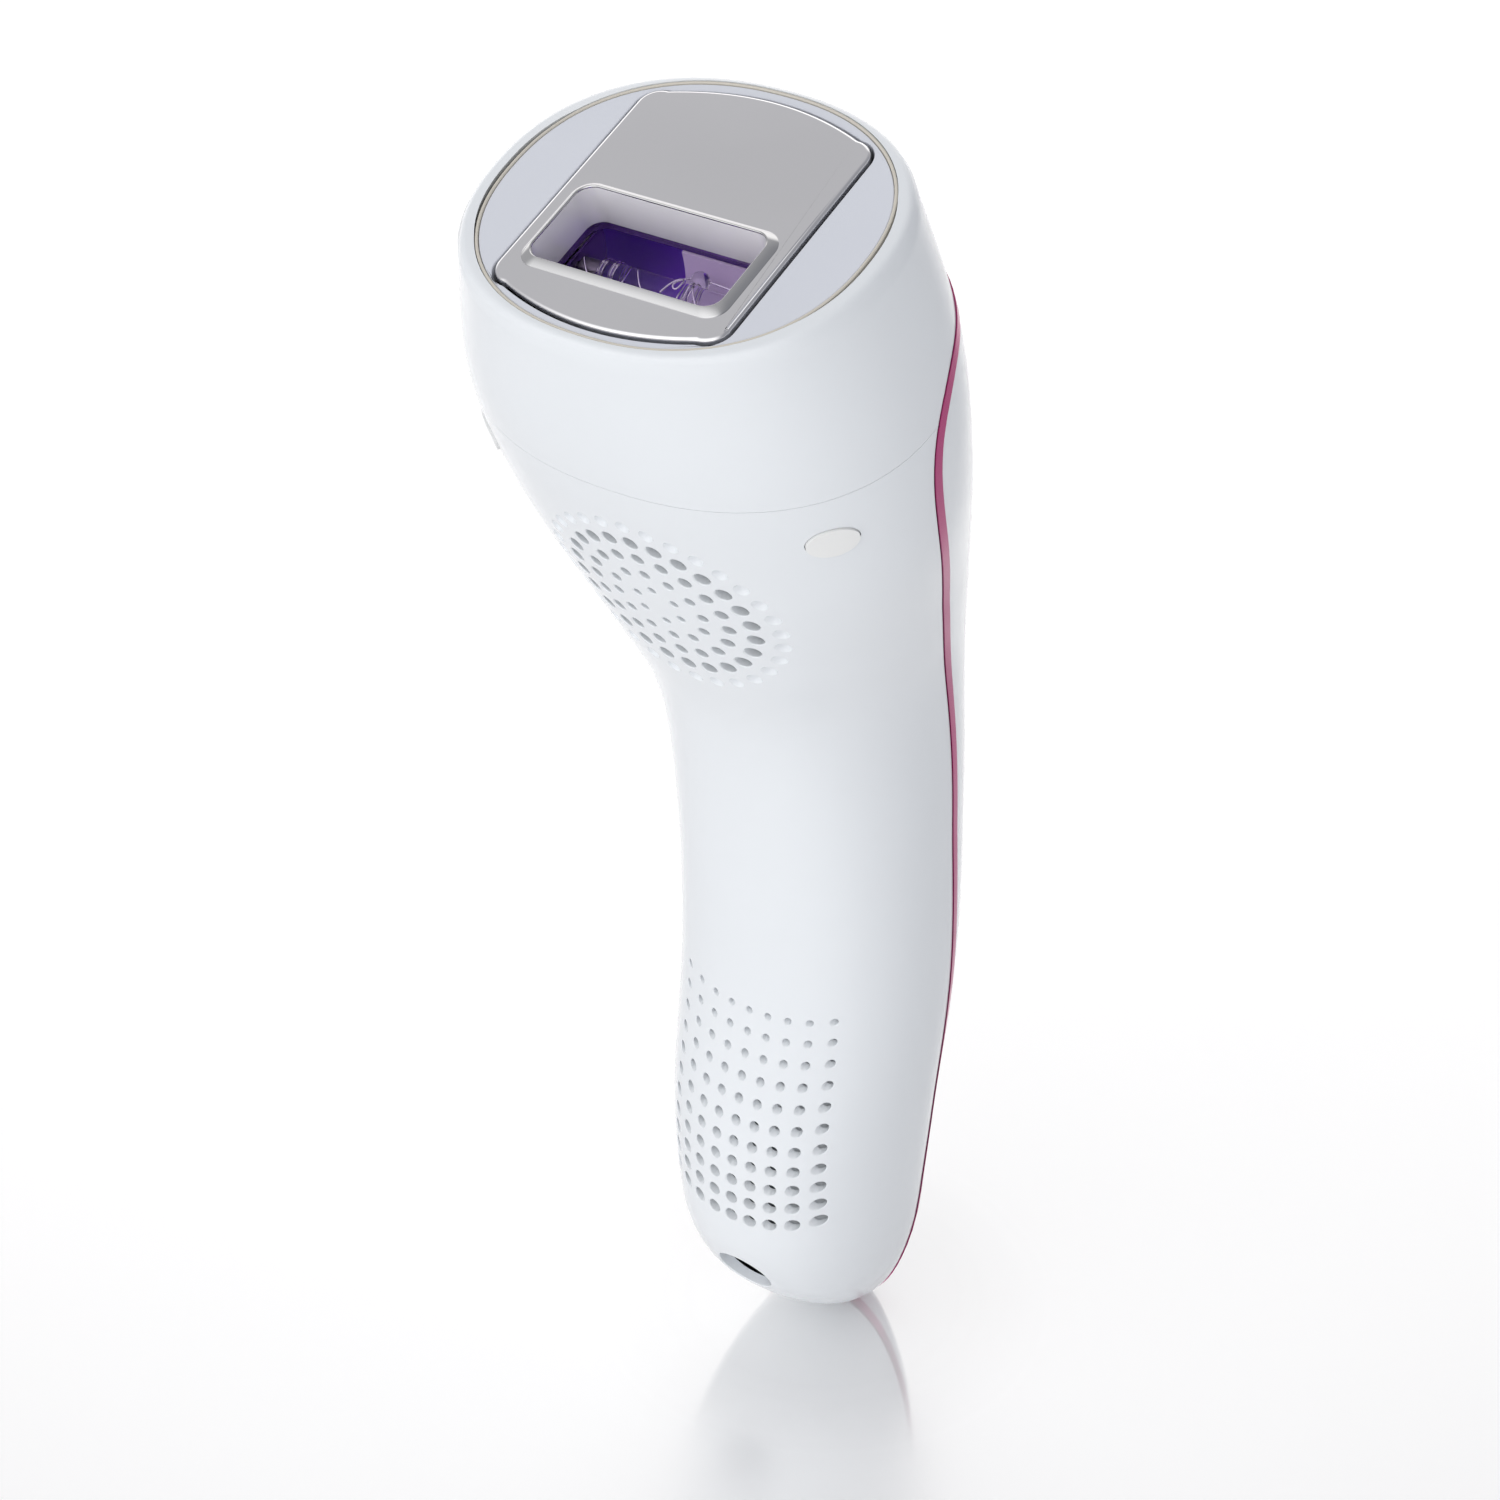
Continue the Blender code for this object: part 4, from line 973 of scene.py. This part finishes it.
def front_housing():
    front = piece("front_housing_fine", body_form(rim=RIM_RADIUS))
    holes, dimples = vent_cutters()
    openings = bmesh.new()
    for side in (-1, 1):
        merge(openings, placed(prism(release_outline(RELEASE_GAP), *RELEASE_DRILL), release_matrix(side)))
    inlet = cutter(turned(INLET_RECESS, inlet_matrix(), count=64))
    cut(front, front_of_rear, above_seam, cavity, holes, dimples, cutter(openings), inlet)
    smooth_skin(front)
    show(front, "handle", WHITE, "white_gloss", "front_housing")
    # the inside of the housing and the deep walls of its vents and gaps get dark painted shade
    paint_inside_shade(front, PAINTED_INSIDE_SHADE)


def trim_ring():
    """Metal strip between the two shells, standing a little proud."""
    trim = piece("trim_ring_fine", body_form(-TRIM_PROUD, rim=RIM_RADIUS))
    half = TRIM_WIDTH / 2.0
    across = side_slab(trim_line(-half) + list(reversed(trim_line(half))))
    combine(trim, ("INTERSECT", across), ("DIFFERENCE", cutter(body_form(TRIM_THICKNESS, top=CAVITY_TOP))))
    show(shade(trim, 50.0), "handle", MAGENTA, "magenta_metal", "trim_ring")


proud_skin = cutter(body_form(-BUTTON_PROUD))
flush_skin = cutter(body_form())


def release_buttons():
    """Oval buttons on the two sides, each with a blind hole in its back for its spring."""
    for side, name in ((-1, "left"), (1, "right")):
        place = release_matrix(side)
        button = piece("release_button_fine_" + name, prism(release_outline(), *RELEASE_BODY), place)
        socket = cutter(turned(SPRING_SOCKET, place))
        bevelled(combine(button, ("INTERSECT", proud_skin), ("DIFFERENCE", socket)), RELEASE_EDGE)
        show(button, "release_" + name, BUTTON, "ivory", "release_button_" + name)


def back_buttons():
    """The flash button and the level button, standing a little proud of the back."""
    for name, outline in (("flash_button", flash_outline()), ("level_button", level_outline())):
        button = piece(name + "_fine", back_prism(outline, BUTTON_BACK))
        bevelled(combine(button, ("INTERSECT", proud_skin)), BUTTON_EDGE)
        show(button, name, WHITE, "white_gloss", name)


def indicator_lens():
    lens = piece("indicator_lens_fine", back_prism(lens_outline(), BUTTON_BACK))
    bevelled(combine(lens, ("INTERSECT", flush_skin)), LENS_EDGE)
    show(lens, "handle", SMOKE, "smoke_lens", "indicator_lens")


# ---------------------------------------------------------------- treatment face

PANEL_HALF = (27.87, 24.27)
PANEL_TOP = -0.2
PANEL_BOTTOM = -2.7
PANEL_EDGE = 0.25
RIM_RING_OUTER = (28.35, 24.75)
RIM_RING_WIDTH = 0.42
RIM_RING_TOP = -0.05
RIM_RING_EDGE = (0.12, 0.1)
PLATE_HALF_WIDTH = 18.4
PLATE_HALF_LENGTH = 22.7
PLATE_BOW = 2.9
PLATE_CENTRE = -0.2
PLATE_CORNER = 3.2
PLATE_END_STEPS = 24
PLATE_TOP = 0.3
PLATE_BOTTOM = -1.4
PLATE_EDGE = 0.6
PLATE_GAP = 0.45
# lower and upper end of the cutters that go through the panel and the plate
FACE_CUT = (-9.0, 3.0)
WINDOW_CENTRE = -8.2
WINDOW_OUTER = (16.3, 8.4)
WINDOW_CORNER = 3.0
WINDOW_TOP = 1.2
BEZEL_WIDTH = 1.27
BEZEL_STEP = 0.7
BEZEL_CREST_WIDTH = 0.24
BEZEL_LIP = 0.18
BEZEL_SINK = 0.03
# (inset, rise) of the rounded foot from the plate up, and of the rounded crest
BEZEL_FOOT = ((0.0, 0.0), (0.0, 0.08), (0.03, 0.14), (0.08, 0.2))
BEZEL_CREST = ((0.0, -0.02), (0.06, 0.0), (0.14, -0.03), (0.2, -0.09))
LINER_TOP = 0.86
LINER_EDGE = 0.06
LINER_GAP = 0.1
LINER_SLOPE = 0.2
LINER_BOTTOM = -6.6
STEP_GAP = 0.06
GASKET_LEDGE = 0.8
GASKET_GAP = 0.05
GLASS_HALF = (15.2, 7.4)
GLASS_CORNER = 2.2
GLASS_TOP = -5.2
GLASS_THICKNESS = 1.2
GLASS_BOTTOM = GLASS_TOP - GLASS_THICKNESS
GLASS_EDGE = 0.12


def plate_outline(grow=0.0):
    """The treatment plate: straight sides, bowed ends and rounded corners."""
    half_x = PLATE_HALF_WIDTH + grow
    half_y = PLATE_HALF_LENGTH + grow
    radius = PLATE_CORNER + grow
    inner_x = half_x - radius
    shoulder = half_y - PLATE_BOW - radius
    points = []
    for start, sx, sy in CORNERS:
        points += rounded_corner(sx * inner_x, PLATE_CENTRE + sy * shoulder, radius, start)
        if sx == sy:
            for i in range(1, PLATE_END_STEPS):
                x = sx * inner_x * (1.0 - 2.0 * i / PLATE_END_STEPS)
                bow = PLATE_BOW * (1.0 - (x / inner_x) ** 2)
                points.append((x, PLATE_CENTRE + sy * (half_y - PLATE_BOW + bow)))
    return points


def window_outline(inset):
    """The window's outline at an inset from the bezel's foot."""
    half = (WINDOW_OUTER[0] - inset, WINDOW_OUTER[1] - inset)
    return rounded_rectangle(*half, WINDOW_CORNER - 0.5 * inset, (0.0, WINDOW_CENTRE))


def rim_ring():
    """Ivory ring between the head shell and the panel, with its top edges broken."""
    def outline(inset):
        return squared_ellipse(RIM_RING_OUTER[0] - inset, RIM_RING_OUTER[1] - inset)

    inset, drop = RIM_RING_EDGE
    shoulder = RIM_RING_TOP - drop
    section = ((0.0, PANEL_BOTTOM), (0.0, shoulder), (inset, RIM_RING_TOP),
               (RIM_RING_WIDTH - inset, RIM_RING_TOP), (RIM_RING_WIDTH, shoulder),
               (RIM_RING_WIDTH, PANEL_BOTTOM))
    ring = piece("rim_ring_fine", band(outline, section), FACE)
    show(shade(ring), "cartridge", IVORY, "ivory", "rim_ring")


def face_panel():
    panel = piece("face_panel_fine", prism(squared_ellipse(*PANEL_HALF), PANEL_BOTTOM, PANEL_TOP), FACE)
    cut(panel, cutter(prism(plate_outline(PLATE_GAP), *FACE_CUT), FACE))
    bevelled(panel, PANEL_EDGE)
    show(panel, "cartridge", PANEL, "panel_grey", "face_panel")


def contact_plate():
    plate = piece("contact_plate_fine", prism(plate_outline(), PLATE_BOTTOM, PLATE_TOP), FACE)
    cut(plate, cutter(prism(window_outline(BEZEL_STEP - STEP_GAP), *FACE_CUT), FACE))
    bevelled(plate, PLATE_EDGE, segments=6)
    show(plate, "cartridge", STEEL, "polished_steel", "contact_plate")


def window_bezel():
    """Steel frame that slopes up from the plate to a rounded crest and drops into the well."""
    foot = PLATE_TOP - BEZEL_SINK
    crest = BEZEL_WIDTH - BEZEL_CREST_WIDTH
    under = LINER_TOP + BEZEL_SINK
    section = [(inset, foot + rise) for inset, rise in BEZEL_FOOT]
    section += [(crest + inset, WINDOW_TOP + rise) for inset, rise in BEZEL_CREST]
    section += [(BEZEL_WIDTH, WINDOW_TOP - BEZEL_LIP), (BEZEL_WIDTH, under)]
    section += [(BEZEL_STEP, under), (BEZEL_STEP, foot)]
    bezel = piece("window_bezel_fine", band(window_outline, section), FACE)
    show(shade(bezel, 25.0), "cartridge", BEZEL, "polished_steel", "window_bezel")


def window_liner():
    """The moulded white well between the bezel and the filter glass."""
    foot = GLASS_TOP + LINER_GAP
    shoulder = PLATE_BOTTOM - LINER_GAP
    step = BEZEL_STEP + STEP_GAP
    wall = BEZEL_WIDTH
    section = ((0.0, foot), (0.0, shoulder), (step, shoulder), (step, LINER_TOP),
               (wall - LINER_EDGE, LINER_TOP), (wall, LINER_TOP - LINER_EDGE),
               (wall + LINER_SLOPE, foot + LINER_SLOPE), (wall + LINER_GAP, foot))
    liner = piece("window_liner_fine", band(window_outline, section), FACE)
    show(shade(liner, 40.0), "cartridge", WELL, "white_gloss", "window_liner")


def filter_gasket():
    """Dark gasket that holds the edge of the filter glass."""
    top = GLASS_TOP + LINER_GAP - GASKET_GAP
    section = ((0.0, LINER_BOTTOM), (0.0, top), (GASKET_LEDGE, top), (GASKET_LEDGE, GLASS_BOTTOM),
               (BEZEL_WIDTH, GLASS_BOTTOM - LINER_GAP), (BEZEL_WIDTH, LINER_BOTTOM))
    gasket = piece("filter_gasket", band(window_outline, section), FACE)
    show(shade(gasket, 40.0), "cartridge", GASKET, "white_gloss")


def filter_glass():
    slab = prism(rounded_rectangle(*GLASS_HALF, GLASS_CORNER, (0.0, WINDOW_CENTRE)), GLASS_BOTTOM, GLASS_TOP)
    pane = bevelled(piece("filter_glass_fine", slab, FACE), GLASS_EDGE)
    show(pane, "cartridge", FILTER, "violet_filter", "filter_glass")


# ---------------------------------------------------------------- lamp

TUBE_CENTRE = -7.0
TUBE_DROP = -8.7
TUBE_RADIUS = 1.9
TUBE_HALF_LENGTH = 19.0
TUBE_EDGE = 0.3
# places along the tube, and (inset, place) points of the section, of the raised rings round its seals
SEAL_PLACES = (-10.4, -9.9, -8.6, -8.1, 3.4, 4.0, 11.4, 12.2)
SEAL_SECTION = ((-0.2, 0.0), (-0.32, 0.15), (-0.2, 0.3), (-0.02, 0.3), (-0.02, 0.0))
BULB_AT = (3.5, -4.3, -7.9)
BULB_RADIUS = 1.35
REFLECTOR_TOP = -6.9
REFLECTOR_HALF_WIDTH = 7.8
REFLECTOR_DEPTH = 10.6
REFLECTOR_SHEET = 0.35
REFLECTOR_HALF_LENGTH = 15.0
TROUGH_STEPS = 40
TROUGH_GAP = 0.05
TROUGH_END = 0.35
SLEEVE_FROM = -1.2
SLEEVE_DEPTH = 0.5
TRIGGER_RADIUS = 0.1
TRIGGER_HALF_LENGTH = 13.2
TRIGGER_GAP = 0.05
TRIGGER_TURNS = 3
TURN_POINTS = 16
LEAD_RADIUS = 0.14
# (height, across, along) from the middle of the tube, of the trigger wire's knot and of its loose end
KNOT_ROUTE = ((1.9, -1.9, 0.4), (2.3, 0.2, 1.0), (1.2, 2.2, 1.6), (2.2, 0.6, 2.6), (1.9, -1.6, 2.2),
              (2.3, 0.3, 0.8), (1.2, 2.4, 2.4))
LEAD_ROUTE = ((0.8, 3.0, 4.6), (0.9, 2.9, 7.0), (0.7, 2.6, 10.0), (0.7, 2.6, 13.8))
# (radius, place along the tube) of an electrode with its end cap and pin
ELECTRODE = ((0.7, 10.6), (1.1, 11.2), (1.1, 14.0), (0.5, 14.4), (0.5, 19.3), (1.9, 19.3), (1.9, 22.0),
             (0.5, 22.4), (0.5, 25.0))


def lamp_matrix(side=1):
    """Frame of the flash tube: its +Z points along the tube to the given side."""
    middle = FACE @ Matrix.Translation((0.0, TUBE_CENTRE, TUBE_DROP))
    return middle @ Matrix.Rotation(math.radians(90.0 * side), 4, "Y")


LAMP = lamp_matrix()


def trough(name, start, end, outer, inner=None):
    """A length of trough between two X places: a folded sheet, or solid where inner is None."""
    angles = [math.pi * i / TROUGH_STEPS for i in range(TROUGH_STEPS + 1)]
    outline = []
    for shrink in (outer,) if inner is None else (outer, inner):
        half, deep = REFLECTOR_HALF_WIDTH - shrink, REFLECTOR_DEPTH - shrink
        outline += [(WINDOW_CENTRE + half * math.cos(a), REFLECTOR_TOP - deep * math.sin(a)) for a in angles]
        # the inner arc runs back the other way
        angles.reverse()
    bm = bmesh.new()
    skin_rings(bm, [[(x, y, z) for y, z in outline] for x in (start, end)])
    return shade(piece(name, bm, FACE))


def reflector():
    """Polished trough of folded sheet under the filter, with its ends closed and a pale sleeve."""
    end = REFLECTOR_HALF_LENGTH
    sheet = trough("reflector_fine", -end, end, 0.0, REFLECTOR_SHEET)
    show(sheet, "cartridge", TROUGH, "polished_steel", "reflector")
    lining = REFLECTOR_SHEET + TROUGH_GAP
    for name, start in (("left", -end + TROUGH_GAP), ("right", end - TROUGH_END - TROUGH_GAP)):
        plug = trough("trough_end_" + name, start, start + TROUGH_END, lining)
        show(plug, "cartridge", GASKET, "ceramic")
    inner = REFLECTOR_SHEET + SLEEVE_DEPTH
    sleeve = trough("trough_sleeve", SLEEVE_FROM, end - SLEEVE_DEPTH, lining, inner)
    show(sleeve, "cartridge", SLEEVE, "ceramic")


def flash_tube():
    edge, end = TUBE_RADIUS - TUBE_EDGE, TUBE_HALF_LENGTH - TUBE_EDGE
    profile = ((edge, -TUBE_HALF_LENGTH), (TUBE_RADIUS, -end), (TUBE_RADIUS, end), (edge, TUBE_HALF_LENGTH))
    tube = piece("flash_tube_fine", turned(profile, LAMP, count=48))
    show(shade(tube), "cartridge", QUARTZ, "quartz", "flash_tube")


def tube_seals():
    """Raised quartz rings where the tube is sealed."""
    def outline(inset):
        return ellipse(TUBE_RADIUS - inset, TUBE_RADIUS - inset)

    seals = bmesh.new()
    for start in SEAL_PLACES:
        merge(seals, band(outline, [(inset, start + place) for inset, place in SEAL_SECTION]))
    rings = piece("tube_seals", seals, LAMP)
    show(shade(rings, 50.0), "cartridge", QUARTZ, "quartz")


def tube_tip():
    """The bulb where the tube was pinched off after filling."""
    ball = bmesh.new()
    bmesh.ops.create_uvsphere(ball, u_segments=32, v_segments=20, radius=BULB_RADIUS)
    bulb = piece("tube_tip", placed(ball, Matrix.Translation(BULB_AT)), FACE)
    show(shade(bulb, 60.0), "cartridge", BULB, "quartz")


def trigger_wires():
    """Trigger wire wound along the tube, its knot and its loose end."""
    reach = TUBE_RADIUS + TRIGGER_RADIUS + TRIGGER_GAP
    last = TRIGGER_TURNS * TURN_POINTS
    helix = []
    for i in range(last + 1):
        angle = math.pi + math.tau * i / TURN_POINTS
        along = TRIGGER_HALF_LENGTH * (2.0 * i / last - 1.0)
        helix.append((reach * math.cos(angle), reach * math.sin(angle), along))
    coil = wire("trigger_wire", helix, TRIGGER_RADIUS, LAMP)
    show(coil, "cartridge", SILVER, "polished_steel")
    for name, route in (("trigger_knot", KNOT_ROUTE), ("trigger_lead", LEAD_ROUTE)):
        points = [(-height, across, along) for height, across, along in route]
        show(wire(name, points, LEAD_RADIUS, LAMP), "cartridge", SILVER, "polished_steel")


def electrodes():
    for name, side in (("left", -1), ("right", 1)):
        rod = piece("electrode_fine_" + name, turned(ELECTRODE, lamp_matrix(side)))
        show(shade(rod), "cartridge", TUNGSTEN, "polished_steel", "electrode_" + name)


# ---------------------------------------------------------------- cartridge underside

TUB_HALF = (30.0, 21.2)
TUB_CENTRE = (0.0, -1.6)
TUB_TOP = -10.5
TUB_BOTTOM = -24.9
TUB_WALL = 1.5
TUB_EDGE = 0.35
BLADE_X = 10.0
BLADE_Y = 2.0
BLADE_HEIGHT = -28.6
BLADE_SIZE = (0.8, 5.0, 12.0)
BLADE_EDGE = 0.2
BLADE_SLOT = (1.6, 6.0, 8.0)


def cartridge_tub():
    """The cartridge's lower housing, an open tub with slots in its floor for the two blades."""
    def outline(inset):
        return squared_ellipse(TUB_HALF[0] - inset, TUB_HALF[1] - inset, centre=TUB_CENTRE)

    tub = piece("cartridge_tub_fine", prism(outline(0.0), TUB_BOTTOM, TUB_TOP), FACE)
    slots = bmesh.new()
    for side in (-1, 1):
        merge(slots, box(BLADE_SLOT, (side * BLADE_X, BLADE_Y, TUB_BOTTOM)))
    cut(tub, cutter(prism(outline(TUB_WALL), TUB_BOTTOM + TUB_WALL, 0.0), FACE), cutter(slots, FACE))
    bevelled(tub, TUB_EDGE)
    show(tub, "cartridge", WHITE, "white_gloss", "cartridge_tub")


def contact_blades():
    for name, side in (("left", -1), ("right", 1)):
        bar = box(BLADE_SIZE, (side * BLADE_X, BLADE_Y, BLADE_HEIGHT))
        blade = bevelled(piece("contact_blade_fine_" + name, bar, FACE), BLADE_EDGE)
        show(blade, "cartridge", BRASS, "brass", "contact_blade_" + name)


head_shell()
rear_cover()
front_housing()
trim_ring()
release_buttons()
back_buttons()
indicator_lens()
rim_ring()
face_panel()
contact_plate()
window_bezel()
window_liner()
filter_gasket()
filter_glass()
reflector()
flash_tube()
tube_seals()
tube_tip()
trigger_wires()
electrodes()
cartridge_tub()
contact_blades()

# ---------------------------------------------------------------- carried-over CAD nodes

dress(STEEL, "release_spring_left", "release_spring_right", "socket_screw_left", "socket_screw_right",
      "fan_screw_upper", "fan_screw_lower", "board_screw_lower", "board_screw_upper", "dc_pin")
dress(BLACK, "contact_block", "fan_frame", "fan_rotor", "flash_switch", "level_switch",
      "capacitor", "trigger_transformer", "head_chassis")
dress(INLET, "dc_jack")
dress(SHADOW, "socket_plate")
dress(BRASS, "inductor")
dress(BOARD, "main_board")
dress(CERAMIC, "lamp_holder_left", "lamp_holder_right")

for leftover in list(scratch.objects):
    bpy.data.objects.remove(leftover)
bpy.data.collections.remove(scratch)
